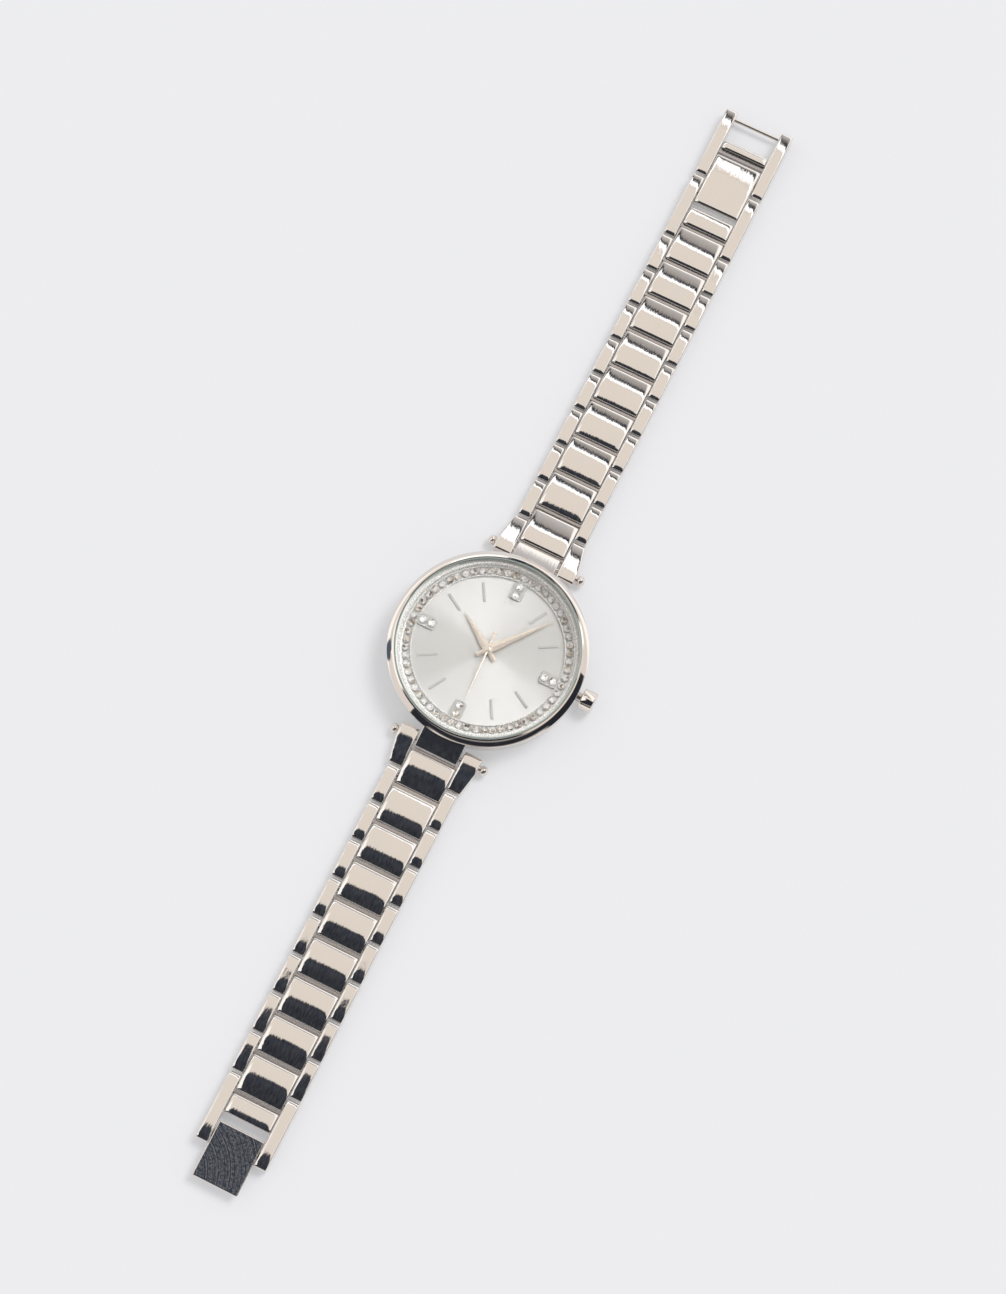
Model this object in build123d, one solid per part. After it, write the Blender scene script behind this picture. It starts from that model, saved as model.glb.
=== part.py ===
from build123d import *
import os

# Bracelet watch, lying open and flat with its dial up. Millimetres, +Z up, +Y towards 12 o'clock,
# +X towards the crown. The origin is the centre of the case back's flat face.

# Fits, used wherever one piece runs in, seats in or passes another
snug_gap = 0.01
running_gap = 0.04
slip_gap = 0.1
overrun = 1.0

# Bracelet links
link_length = 6.2
link_gap = 0.95
link_height = 2.5
link_count = 8
centre_width = 8.3
side_width = 2.15
side_gap = 0.12
link_stagger = 2.85
crown_rise = 0.22
top_cut = 0.3
heel_cut = 0.75
heel_share = 0.25
edge_cut = 0.28
outer_cut = 0.45
hinge_setback = 1.15
hinge_radius = 0.4
hinge_grip = 1.4
bridge_gap = 0.2
bridge_height = 1.0

# Long frames, the plate link and the clasp at the two free ends
plate_link_length = 9.85
plate_link_gap = 1.3
plate_hinge_inset = 2.2
long_frame_length = 11.6
long_frame_pin_inset = 2.15
catch_frame_length = 13.1
catch_centre_length = 1.6
catch_bar_inset = 1.05
catch_bar_radius = 0.35
catch_bar_height = 1.2
clasp_frame_length = 11.5
clasp_frame_pin_inset = 1.55
clasp_plate_length = 9.85
clasp_plate_gap = 1.7
clasp_plate_thickness = 0.7
clasp_pivot_inset = 2.3
clasp_pivot_radius = 0.35
clasp_knuckle_radius = 0.85
clasp_web_thickness = 0.9
clasp_corner_radius = 0.3
clasp_closed_gap = 0.45
hook_width = 3.4
hook_wall = 0.4

# Lugs, end links and their knobbed bars
lug_reach = 1.8
lug_width = 7.8
lug_nose_radius = 1.0
lug_axis_height = 1.3
lug_root_height = 3.4
lug_bar_radius = 0.4
lug_swell_share = 0.15
lug_knob_radius = 0.75
lug_knob_cut = 0.35
end_tail = 1.5
end_link_gap = 0.95
end_bridge_length = 0.5
end_flare = 1.1
end_taper = 0.2

# Case, bezel and crystal
case_diameter = 33.2
case_wall = 2.6
case_bottom_height = 0.5
case_top_height = 3.9
case_bottom_cut = 0.4
bezel_overhang = 0.4
bezel_height = 2.4
bezel_rim_width = 0.96
bezel_land = 0.1
bezel_slope_height = 0.9
crystal_thickness = 1.45
crystal_step = 1.0
gasket_wall = 0.24

# Case back
back_flange_width = 0.7
back_thickness = 0.9
back_plug_height = 0.3
back_gasket_height = 0.22

# Dial, its ring of stones, markers and hands
dial_thickness = 0.4
dial_ledge_width = 1.1
dial_ledge_depth = 0.8
dial_hole_radius = 0.9
ring_slope_width = 0.25
ring_wall = 0.12
stone_ring_width = 1.65
stone_ring_height = 0.45
stone_count = 60
stone_radius = 0.6
stone_height = 0.3
stone_taper = 35.0
stone_sides = 6
index_plate_length = 3.15
index_plate_width = 2.25
index_plate_height = 0.3
index_plate_cut = 0.5
index_stone_radius = 0.62
marker_length = 3.4
marker_width = 0.45
marker_height = 0.15
marker_gap = 1.1
hour_count = 12
plate_count = 4
hand_thickness = 0.12
hand_clearance = 0.4
hand_spacing = 0.32
hand_boss_radius = 0.8
hour_hand_length = 7.7
hour_hand_width = 1.6
hour_hand_tail = 2.3
hour_hand_angle = 303.3
minute_hand_length = 12.1
minute_hand_width = 1.5
minute_hand_tail = 2.1
minute_hand_angle = 40.0
second_hand_length = 9.7
second_hand_width = 0.3
second_hand_tail = 3.1
second_hand_angle = 177.0
hand_tail_width = 0.9
hand_waist_share = 0.5
hand_waist_place_share = 0.33

# Movement behind the dial
holder_width = 4.9
movement_sides = 16
plate_thickness = 0.4
plate_drop = 0.5
wheel_thickness = 0.16
wheel_gap = 0.12
hour_wheel_radius = 3.2
minute_wheel_radius = 1.5
seconds_wheel_radius = 1.9
seconds_arbor_radius = 0.15
pinion_wall = 0.24
hour_tube_wall = 0.26
bridge_post_radius = 0.5
train_bridge_width = 3.2
train_bridge_thickness = 0.16
battery_rim = 0.2
battery_height = 0.9
coil_rim = 0.6
coil_place_share = 0.65
coil_radius = 0.36
coil_core_width = 1.8
board_length = 6.0
board_gap = 0.15
board_thickness = 0.15
quartz_can_length = 4.0
quartz_can_radius = 0.33

# Crown, stem and tube
crown_diameter = 3.3
crown_length = 2.3
crown_neck_gap = 0.55
crown_cut = 0.25
crown_travel = 0.9
crown_axis_height = 2.25
crown_cap = 0.4
stem_radius = 0.35
stem_depth = 2.4
stem_slot_width = 2.0
tube_wall = 0.4
crown_gasket_wall = 0.12
crown_gasket_length = 0.35
lever_length = 0.5
lever_width = 1.5

# Places that follow from the sizes above
case_radius = case_diameter / 2
bore_radius = case_radius - case_wall
ledge_radius = bore_radius + dial_ledge_width
ledge_height = case_top_height - dial_ledge_depth
dial_top = ledge_height + dial_thickness
bezel_radius = case_radius + bezel_overhang
bezel_top = case_top_height + bezel_height
crystal_bore_radius = bezel_radius - bezel_rim_width
crystal_radius = crystal_bore_radius - gasket_wall
crystal_seat = case_top_height + crystal_step
lug_axis_y = case_radius + lug_reach
side_inner_x = centre_width / 2 + side_gap
side_outer_x = side_inner_x + side_width
pitch = link_length + link_gap
axis_height = link_height / 2
end_bridge_start = lug_axis_y + lug_nose_radius + (end_link_gap - end_bridge_length)
end_centre_start = end_bridge_start + end_bridge_length
end_centre_end = end_centre_start + link_length
plate_low = ledge_height - plate_drop - plate_thickness


def save(name, solids):
    """Write one node, a single solid or a group of separate ones."""
    shape = solids[0] if len(solids) == 1 else Compound(children=list(solids))
    export_step(shape, f"parts/{name}.step")


def disc(radius, low, high):
    return extrude(Plane.XY.offset(low) * Circle(radius), high - low)


def ring(inner, outer, low, high):
    return extrude(Plane.XY.offset(low) * (Circle(outer) - Circle(inner)), high - low)


def turned(points):
    """A ring or disc turned about the watch's centre line, from (radius, height) corners."""
    section = Plane.XZ * make_face(Polyline(*points, close=True))
    return revolve(section, axis=Axis.Z)


def cross_rod(y, z, radius, x_low, x_high):
    """A round rod along X."""
    return extrude(Plane.YZ.offset(x_low) * Pos(y, z) * Circle(radius), x_high - x_low)


def cross_block(y_low, y_high, z_low, z_high, x_low, x_high):
    """A plain block given by its limits."""
    size = (x_high - x_low, y_high - y_low, z_high - z_low)
    middle = ((x_low + x_high) / 2, (y_low + y_high) / 2, (z_low + z_high) / 2)
    return Pos(*middle) * Box(*size)


def domed_bar(y_low, y_high, x_low, x_high, low_x_cut, high_x_cut):
    """A link body: crowned along Y, heels cut back to swing, long top edges broken."""
    length = y_high - y_low
    heel = min(heel_cut, length * heel_share)
    shoulder = link_height - crown_rise * min(1, length / link_length)
    rim = [
        (y_low + top_cut, shoulder),
        (y_low, shoulder - top_cut),
        (y_low, heel),
        (y_low + heel, 0),
        (y_high - heel, 0),
        (y_high, heel),
        (y_high, shoulder - top_cut),
        (y_high - top_cut, shoulder),
    ]
    crown = ThreePointArc(rim[-1], ((y_low + y_high) / 2, link_height), rim[0])
    outline = make_face(Curve() + [Polyline(*rim), crown])
    bar = extrude(Plane.YZ.offset(x_low) * outline, x_high - x_low)
    for x, cut in ((x_low, low_x_cut), (x_high, high_x_cut)):
        long_edge = bar.edges().filter_by(GeomType.CIRCLE).sort_by(Axis.X)
        bar = chamfer(long_edge[0] if x == x_low else long_edge[-1], cut)
    return bar


def centre_bar(y_low, y_high):
    return domed_bar(y_low, y_high, -centre_width / 2, centre_width / 2, edge_cut, edge_cut)


def side_bars(y_low, y_high):
    """The pair of side pieces of a link, right one first."""
    right = domed_bar(y_low, y_high, side_inner_x, side_outer_x, edge_cut, outer_cut)
    return [right, mirror(right, about=Plane.YZ)]


def bridge(y_low, y_high):
    """The recessed cross bar that joins a link's two side pieces and carries its centre piece."""
    low = axis_height - bridge_height / 2
    reach = side_inner_x + side_width / 2
    return cross_block(y_low, y_high, low, low + bridge_height, -reach, reach)


def pin_solid(y, z, radius, grip):
    """A pin held in blind holes of the two side pieces."""
    reach = side_inner_x + grip
    return cross_rod(y, z, radius, -reach, reach)


def pin_seat(y, z, radius, grip):
    """The cutter for those blind holes."""
    return pin_solid(y, z, radius + snug_gap, grip + snug_gap)


def running_hole(y, z, radius):
    """The cutter for a pin's running hole through a centre piece."""
    reach = centre_width / 2 + overrun
    return cross_rod(y, z, radius + running_gap, -reach, reach)


def link(centre_start, centre_length, side_length, next_hinge=True):
    """One link: side pieces with their bridge, centre piece and the hinge pin to the link before."""
    side_start = centre_start - link_stagger
    hinge_y = centre_start - link_gap - hinge_setback
    frame = bridge(centre_start - link_gap + bridge_gap, centre_start)
    for bar in side_bars(side_start, side_start + side_length):
        frame += bar
    frame += pin_solid(hinge_y, axis_height, hinge_radius, hinge_grip)
    centre = centre_bar(centre_start, centre_start + centre_length)
    if next_hinge:
        next_y = centre_start + centre_length - hinge_setback
        centre -= running_hole(next_y, axis_height, hinge_radius)
    return frame, centre


def end_side_pieces(y_low, y_high):
    """The end link's side pieces, flared out towards the case."""
    wide = side_outer_x + end_flare
    right = domed_bar(y_low, y_high, side_inner_x, wide, edge_cut, outer_cut)
    flare = [
        (side_inner_x - overrun, y_low - overrun),
        (wide + overrun, y_low - overrun),
        (wide + overrun, lug_axis_y),
        (wide, lug_axis_y + lug_nose_radius),
        (side_outer_x + end_taper, y_high),
        (side_outer_x + end_taper, y_high + overrun),
        (side_inner_x - overrun, y_high + overrun),
    ]
    right &= extrude(make_face(Polyline(*flare, close=True)), link_height + overrun)
    return [right, mirror(right, about=Plane.YZ)]


def end_link():
    """The link that straddles a lug, with its knobbed bar through the lug."""
    first_side_start = end_centre_end + link_gap - link_stagger
    frame = bridge(end_bridge_start, end_centre_start)
    for bar in end_side_pieces(lug_axis_y - end_tail, first_side_start - link_gap):
        frame += bar
    wide = side_outer_x + end_flare + overrun
    frame -= cross_rod(lug_axis_y, lug_axis_height, lug_bar_radius + snug_gap, -wide, wide)
    centre = centre_bar(end_centre_start, end_centre_end)
    centre -= running_hole(end_centre_end - hinge_setback, axis_height, hinge_radius)
    return frame, centre


def lug_bar():
    """The bar through lug and end link, closed by a round knob at each end."""
    knob_start = side_outer_x + end_flare
    bar = cross_rod(lug_axis_y, lug_axis_height, lug_bar_radius, -knob_start, knob_start)
    knob_end = knob_start + 2 * lug_knob_radius
    knob = cross_rod(lug_axis_y, lug_axis_height, lug_knob_radius, knob_start, knob_end)
    knob = chamfer(knob.edges().filter_by(GeomType.CIRCLE), lug_knob_cut)
    return bar + knob + mirror(knob, about=Plane.YZ)


def turn_round(shape):
    """From the 12 o'clock half to the 6 o'clock half."""
    return Rot(0, 0, 180) * shape


def save_links():
    """The eight equal links of each half, numbered outwards from the case."""
    for number in range(1, link_count + 1):
        start = end_centre_end + link_gap + (number - 1) * pitch
        solids = link(start, link_length, link_length)
        save(f"upper_link_{number}", solids)
        save(f"lower_link_{number}", [turn_round(solid) for solid in solids])
    frame, centre = end_link()
    save("upper_end_link", [frame, centre])
    save("lower_end_link", [turn_round(frame), turn_round(centre)])
    save("upper_lug_bar", [lug_bar()])
    save("lower_lug_bar", [turn_round(lug_bar())])


last_start = end_centre_end + link_gap + link_count * pitch
last_side_start = last_start - link_stagger
long_frame_end = last_side_start + long_frame_length
plate_pin_y = long_frame_end - long_frame_pin_inset
plate_link_start = plate_pin_y - plate_hinge_inset
plate_link_end = plate_link_start + plate_link_length
catch_pin_y = plate_link_end - plate_hinge_inset
catch_frame_start = long_frame_end + link_gap
catch_frame_end = catch_frame_start + catch_frame_length
catch_bar_y = catch_frame_end - catch_bar_inset
clasp_frame_end = last_side_start + clasp_frame_length
clasp_pivot_y = clasp_frame_end - clasp_frame_pin_inset
clasp_plate_start = clasp_pivot_y - clasp_pivot_inset
clasp_plate_end = clasp_plate_start + clasp_plate_length
hook_y = clasp_frame_end + clasp_closed_gap + catch_bar_inset


def save_long_frame():
    """The 12 o'clock half's frame of long rails, with a short centre piece before the plate link."""
    centre_length = plate_link_start - plate_link_gap - last_start
    frame, centre = link(last_start, centre_length, long_frame_length, False)
    frame -= pin_seat(plate_pin_y, axis_height, hinge_radius, hinge_grip)
    save("long_frame", [frame, centre])


def save_plate_link():
    """The long plain centre piece between the two long frames, hinged on a pin at each end."""
    plate = centre_bar(plate_link_start, plate_link_end)
    pin_places = (plate_pin_y, catch_pin_y)
    for y in pin_places:
        plate -= running_hole(y, axis_height, hinge_radius)
    save("plate_link", [plate])
    save("plate_link_pins", [
        pin_solid(y, axis_height, hinge_radius, hinge_grip) for y in pin_places
    ])


def save_catch_frame():
    """The frame whose open window and thin cross bar the clasp hooks on to."""
    centre_start = plate_link_end + plate_link_gap
    frame = bridge(centre_start - link_gap + bridge_gap, centre_start)
    for bar in side_bars(catch_frame_start, catch_frame_end):
        frame += bar
    frame -= pin_seat(catch_pin_y, axis_height, hinge_radius, hinge_grip)
    frame -= pin_seat(catch_bar_y, catch_bar_height, catch_bar_radius, hinge_grip)
    centre = centre_bar(centre_start, centre_start + catch_centre_length)
    save("catch_frame", [frame, centre])
    save("catch_bar", [pin_solid(catch_bar_y, catch_bar_height, catch_bar_radius, hinge_grip)])


def save_clasp_frame():
    """The 6 o'clock half's frame of long rails, with the pivot pin of the clasp plate."""
    centre_length = clasp_plate_start - clasp_plate_gap - last_start
    frame, centre = link(last_start, centre_length, clasp_frame_length, False)
    frame -= pin_seat(clasp_pivot_y, axis_height, clasp_pivot_radius, hinge_grip)
    pivot = pin_solid(clasp_pivot_y, axis_height, clasp_pivot_radius, hinge_grip)
    save("clasp_frame", [turn_round(frame), turn_round(centre)])
    save("clasp_pivot_pin", [turn_round(pivot)])


def side_profile(points, width):
    """A piece of even width along X, from the (y, z) corners of its side."""
    outline = Plane.YZ.offset(-width / 2) * make_face(Polyline(*points, close=True))
    return extrude(outline, width)


def hook():
    """The folded lip under the clasp plate that goes round the catch bar."""
    inner = catch_bar_radius + running_gap
    top = link_height - clasp_plate_thickness
    lip_high = catch_bar_height - inner
    tip = hook_y - catch_bar_radius
    wall = hook_y + inner
    return side_profile([
        (wall, top),
        (wall, lip_high),
        (tip, lip_high),
        (tip, lip_high - hook_wall),
        (wall, lip_high - hook_wall),
        (wall + hook_wall, lip_high),
        (wall + hook_wall, top),
    ], hook_width)


def save_clasp_plate():
    """The thin plate that lifts about its pivot, with knuckle and hook beneath."""
    low = link_height - clasp_plate_thickness
    middle = (clasp_plate_start + clasp_plate_end) / 2
    outline = RectangleRounded(centre_width, clasp_plate_length, clasp_corner_radius)
    plate = extrude(Plane.XY.offset(low) * Pos(0, middle) * outline, clasp_plate_thickness)
    half = centre_width / 2
    knuckle = cross_rod(clasp_pivot_y, axis_height, clasp_knuckle_radius, -half, half)
    web_start = clasp_pivot_y - clasp_web_thickness / 2
    web = cross_block(web_start, web_start + clasp_web_thickness, axis_height, low, -half, half)
    plate = plate + knuckle + web + hook()
    plate -= running_hole(clasp_pivot_y, axis_height, clasp_pivot_radius)
    save("clasp_plate", [turn_round(plate)])


def lug():
    """One lug, curving down from the case wall to a round nose about its bar."""
    root_y = case_radius - dial_ledge_width
    nose_low = lug_axis_height - lug_nose_radius
    nose_high = lug_axis_height + lug_nose_radius
    shoulder_y = (case_radius + lug_axis_y) / 2
    shoulder_z = (lug_root_height + nose_high) / 2 + lug_nose_radius * lug_swell_share
    outline = Curve() + [
        Line((root_y, case_bottom_height), (lug_axis_y, nose_low)),
        ThreePointArc(
            (lug_axis_y, nose_low),
            (lug_axis_y + lug_nose_radius, lug_axis_height),
            (lug_axis_y, nose_high),
        ),
        ThreePointArc(
            (lug_axis_y, nose_high), (shoulder_y, shoulder_z), (root_y, lug_root_height)
        ),
        Line((root_y, lug_root_height), (root_y, case_bottom_height)),
    ]
    half = lug_width / 2
    block = extrude(Plane.YZ.offset(-half) * make_face(outline), lug_width)
    hole_radius = lug_bar_radius + running_gap
    reach = half + overrun
    return block - cross_rod(lug_axis_y, lug_axis_height, hole_radius, -reach, reach)


def crown_rod(radius, x_low, x_high):
    """A round rod along the crown's axis."""
    return cross_rod(0, crown_axis_height, radius, x_low, x_high)


back_radius = bore_radius + back_flange_width
back_recess_radius = back_radius + slip_gap
back_recess_top = back_thickness + back_gasket_height + snug_gap
tube_radius = stem_radius + running_gap + tube_wall
crown_start = bezel_radius + crown_neck_gap
tube_end = crown_start + crown_travel + crown_gasket_length + slip_gap


def save_case_middle():
    """The case body: turned ring with the two lugs, open from both faces."""
    body = turned([
        (back_recess_radius, case_bottom_height),
        (case_radius - case_bottom_cut, case_bottom_height),
        (case_radius, case_bottom_height + case_bottom_cut),
        (case_radius, case_top_height),
        (ledge_radius, case_top_height),
        (ledge_radius, ledge_height),
        (bore_radius, ledge_height),
        (bore_radius, back_recess_top),
        (back_recess_radius, back_recess_top),
    ])
    body += lug()
    body += turn_round(lug())
    body -= crown_rod(tube_radius + snug_gap, bore_radius - overrun, case_radius + overrun)
    save("case_middle", [body])
    save("crown_tube", [
        crown_rod(tube_radius, bore_radius, tube_end)
        - crown_rod(stem_radius + running_gap, bore_radius - overrun, tube_end + overrun)
    ])


def save_bezel_and_crystal():
    """The polished ring on the case, and the flat crystal in its gasket on the ring's step."""
    seat_radius = ledge_radius + slip_gap
    save("bezel", [turned([
        (seat_radius, case_top_height),
        (bezel_radius, case_top_height),
        (bezel_radius, bezel_top - bezel_slope_height),
        (crystal_bore_radius + bezel_land, bezel_top),
        (crystal_bore_radius, bezel_top),
        (crystal_bore_radius, crystal_seat),
        (seat_radius, crystal_seat),
    ])])
    crystal_top = crystal_seat + crystal_thickness
    save("crystal", [disc(crystal_radius, crystal_seat, crystal_top)])
    inner = crystal_radius + snug_gap
    save("crystal_gasket", [
        ring(inner, crystal_bore_radius - snug_gap, crystal_seat, bezel_top - slip_gap)
    ])


def save_case_back():
    """The snap-on back, a plain disc with a plug, and its gasket in the case recess."""
    plug_radius = bore_radius - slip_gap
    save("case_back", [turned([
        (0, 0),
        (back_radius, 0),
        (back_radius, back_thickness),
        (plug_radius, back_thickness),
        (plug_radius, back_thickness + back_plug_height),
        (0, back_thickness + back_plug_height),
    ])])
    save("case_back_gasket", [
        ring(plug_radius + snug_gap, back_radius, back_thickness, back_recess_top - snug_gap)
    ])


ring_outer = ledge_radius - slip_gap
ring_slope_foot = ring_outer - ring_wall - ring_slope_width
stone_ring_inner = ring_slope_foot - stone_ring_width
stone_seat = dial_top + stone_ring_height


def save_dial():
    """Dial disc, and the raised ring with a sloped outer wall that carries the stones."""
    dial = disc(ring_outer, ledge_height, dial_top)
    save("dial", [dial - disc(dial_hole_radius, 0, dial_top + overrun)])
    ring_top = crystal_seat - snug_gap
    save("stone_ring", [turned([
        (stone_ring_inner, dial_top),
        (ring_outer, dial_top),
        (ring_outer, ring_top),
        (ring_outer - ring_wall, ring_top),
        (ring_slope_foot, stone_seat),
        (stone_ring_inner, stone_seat),
    ])])


def stone(radius, height):
    """A cut stone: flat table, sloped facets, its girdle on the metal."""
    return extrude(RegularPolygon(radius, stone_sides), height, taper=stone_taper)


def equal_turns(count):
    """Turns about the watch's centre line that spread copies evenly."""
    return [Rot(0, 0, number * 360 / count) for number in range(count)]


def save_stones():
    """The full ring of stones and the pairs on the four index plates."""
    circle_radius = (stone_ring_inner + ring_slope_foot) / 2
    ring_stone = Pos(0, circle_radius, stone_seat) * stone(stone_radius, stone_height)
    save("ring_stones", [turn * ring_stone for turn in equal_turns(stone_count)])
    plate_end = stone_ring_inner - snug_gap
    plate_middle = plate_end - index_plate_length / 2
    outline = Rectangle(index_plate_width, index_plate_length)
    outline = chamfer(outline.vertices(), index_plate_cut)
    plate = Pos(0, plate_middle, dial_top) * extrude(outline, index_plate_height)
    quarters = equal_turns(plate_count)
    save("index_plates", [turn * plate for turn in quarters])
    gem = stone(index_stone_radius, stone_height)
    gem_top = dial_top + index_plate_height
    spacing = index_plate_length / 2
    pair = [Pos(0, plate_middle + side * spacing / 2, gem_top) * gem for side in (-1, 1)]
    save("index_stones", [turn * gem for turn in quarters for gem in pair])


def save_markers():
    """A plain baton at each hour that has no index plate."""
    outer = stone_ring_inner - marker_gap
    baton = cross_block(
        outer - marker_length,
        outer,
        dial_top,
        dial_top + marker_height,
        -marker_width / 2,
        marker_width / 2,
    )
    plate_step = hour_count // plate_count
    turns = [turn for hour, turn in enumerate(equal_turns(hour_count)) if hour % plate_step]
    save("hour_markers", [turn * baton for turn in turns])


def hand(low, length, width, tail, angle, bore):
    """A slim tapered hand with a flared tail and a round boss, pointing at its angle."""
    waist = width / 2 * hand_waist_share
    waist_y = -tail * hand_waist_place_share
    right_side = [
        (width / 2, width / 2),
        (waist, waist_y),
        (hand_tail_width / 2, -tail),
    ]
    left_side = [(-x, y) for x, y in reversed(right_side)]
    outline = make_face(Polyline((0, length), *right_side, *left_side, close=True))
    blade = extrude(Plane.XY.offset(low) * outline, hand_thickness)
    blade += disc(hand_boss_radius, low, low + hand_thickness)
    if bore:
        blade -= disc(bore, low - overrun, low + overrun)
    return Rot(0, 0, -angle) * blade


hour_low = dial_top + hand_clearance
minute_low = hour_low + hand_spacing
second_low = minute_low + hand_spacing
pinion_bore = seconds_arbor_radius + running_gap
pinion_radius = pinion_bore + pinion_wall
hour_tube_bore = pinion_radius + running_gap
hour_tube_radius = hour_tube_bore + hour_tube_wall
hour_disc_low = ledge_height - wheel_gap - wheel_thickness
minute_disc_low = plate_low - wheel_gap - wheel_thickness
seconds_disc_low = minute_disc_low - wheel_gap - wheel_thickness
train_bridge_low = seconds_disc_low - wheel_gap - train_bridge_thickness


def save_hands():
    """The three hands, each pressed on its own tube or arbor."""
    save("hour_hand", [hand(
        hour_low, hour_hand_length, hour_hand_width, hour_hand_tail, hour_hand_angle,
        hour_tube_radius + snug_gap,
    )])
    save("minute_hand", [hand(
        minute_low, minute_hand_length, minute_hand_width, minute_hand_tail, minute_hand_angle,
        pinion_radius + snug_gap,
    )])
    save("second_hand", [hand(
        second_low, second_hand_length, second_hand_width, second_hand_tail, second_hand_angle,
        seconds_arbor_radius + snug_gap,
    )])


def wheel(radius, disc_low, shaft_radius, shaft_low, hand_low):
    """A wheel blank on the shaft that carries its hand."""
    blank = disc(radius, disc_low, disc_low + wheel_thickness)
    return blank + disc(shaft_radius, shaft_low, hand_low + hand_thickness)


def save_wheels():
    """The hour wheel, cannon pinion and seconds wheel, one running inside the next."""
    hour_wheel = wheel(hour_wheel_radius, hour_disc_low, hour_tube_radius, hour_disc_low, hour_low)
    save("hour_wheel", [hour_wheel - disc(hour_tube_bore, 0, crystal_seat)])
    pinion = wheel(minute_wheel_radius, minute_disc_low, pinion_radius, minute_disc_low, minute_low)
    save("cannon_pinion", [pinion - disc(pinion_bore, 0, crystal_seat)])
    save("seconds_wheel", [wheel(
        seconds_wheel_radius, seconds_disc_low, seconds_arbor_radius, train_bridge_low, second_low
    )])


movement_radius = bore_radius - slip_gap - holder_width
stem_start = movement_radius - stem_depth
under_plate = plate_low - snug_gap
coil_y = movement_radius * coil_place_share
coil_core_near = coil_y - coil_core_width / 2


def stem_slot():
    """The cutter for the stem's and lever's way through the movement."""
    half = stem_slot_width / 2
    start = stem_start - lever_length - slip_gap
    return cross_block(-half, half, 0, ledge_height, start, case_radius)


def save_movement_plate():
    """The main plate, and the plastic spacer that holds it in the case."""
    outline = RegularPolygon(movement_radius, movement_sides)
    plate = extrude(Plane.XY.offset(plate_low) * outline, plate_thickness)
    plate -= disc(pinion_radius + running_gap, 0, ledge_height)
    save("movement_plate", [plate - stem_slot()])
    opening = RegularPolygon(movement_radius + slip_gap, movement_sides)
    section = Circle(bore_radius - slip_gap) - opening
    spacer_low = back_thickness + back_plug_height + snug_gap
    spacer = extrude(Plane.XY.offset(spacer_low) * section, ledge_height - snug_gap - spacer_low)
    save("movement_holder", [spacer - stem_slot()])


def save_train_bridge():
    """The bar on two posts under the main plate that carries the seconds arbor's lower end."""
    post_x = seconds_wheel_radius + slip_gap + bridge_post_radius
    reach = post_x + bridge_post_radius
    half_width = train_bridge_width / 2
    high = train_bridge_low + train_bridge_thickness
    bar = cross_block(-half_width, half_width, train_bridge_low, high, -reach, reach)
    for x in (-post_x, post_x):
        bar += Pos(x, 0) * disc(bridge_post_radius, train_bridge_low, plate_low)
    save("train_bridge", [bar - disc(seconds_arbor_radius + running_gap, 0, plate_low)])


def save_battery_and_coil():
    """The button cell beside the wheels, and the motor's coil between its two core blocks."""
    battery_near = seconds_wheel_radius + slip_gap
    battery_radius = (movement_radius - battery_rim - battery_near) / 2
    battery = disc(battery_radius, under_plate - battery_height, under_plate)
    save("battery", [Pos(0, -battery_near - battery_radius) * battery])
    far = coil_y + coil_core_width / 2
    core_end = (movement_radius**2 - far**2) ** 0.5 - coil_rim
    inner = core_end - coil_core_width
    half = inner - snug_gap
    save("coil", [cross_rod(coil_y, under_plate - coil_radius, coil_radius, -half, half)])
    core_low = under_plate - 2 * coil_radius
    block = cross_block(coil_core_near, far, core_low, under_plate, inner, core_end)
    save("coil_core", [block, mirror(block, about=Plane.YZ)])


def save_circuit():
    """The circuit board under the main plate, and the quartz crystal's can on it."""
    near = seconds_wheel_radius + slip_gap
    far = coil_core_near - board_gap
    half = board_length / 2
    board_low = under_plate - board_thickness
    save("circuit_board", [cross_block(near, far, board_low, under_plate, -half, half)])
    board_y = (near + far) / 2
    can_z = board_low - snug_gap - quartz_can_radius
    half = quartz_can_length / 2
    save("quartz_can", [cross_rod(board_y, can_z, quartz_can_radius, -half, half)])


def save_crown():
    """Crown on its stem, sealed on the tube, and the lever that follows the stem in and out."""
    crown = crown_rod(crown_diameter / 2, crown_start, crown_start + crown_length)
    rim = crown.edges().filter_by(GeomType.CIRCLE)
    crown = chamfer(rim, crown_cut)
    recess_radius = tube_radius + running_gap + crown_gasket_wall
    crown -= crown_rod(recess_radius, crown_start - overrun, tube_end + slip_gap)
    stem_end = crown_start + crown_length - crown_cap
    crown -= crown_rod(stem_radius + snug_gap, crown_start - overrun, stem_end + snug_gap)
    save("crown", [crown])
    gasket_start = crown_start + running_gap
    save("crown_gasket", [
        crown_rod(recess_radius - snug_gap, gasket_start, gasket_start + crown_gasket_length)
        - crown_rod(tube_radius + running_gap, 0, crown_start + crown_length)
    ])
    save("stem", [crown_rod(stem_radius, stem_start, stem_end)])
    lever_end = stem_start - snug_gap
    save("setting_lever", [cross_block(
        -lever_width / 2,
        lever_width / 2,
        crown_axis_height - stem_radius,
        crown_axis_height + stem_radius,
        lever_end - lever_length,
        lever_end,
    )])


os.makedirs("parts", exist_ok=True)
save_links()
save_long_frame()
save_plate_link()
save_catch_frame()
save_clasp_frame()
save_clasp_plate()
save_case_middle()
save_bezel_and_crystal()
save_case_back()
save_dial()
save_stones()
save_markers()
save_hands()
save_wheels()
save_movement_plate()
save_train_bridge()
save_battery_and_coil()
save_circuit()
save_crown()
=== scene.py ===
from math import cos, pi, radians, sin

import bmesh
import bpy
from mathutils import Matrix, Vector


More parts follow.
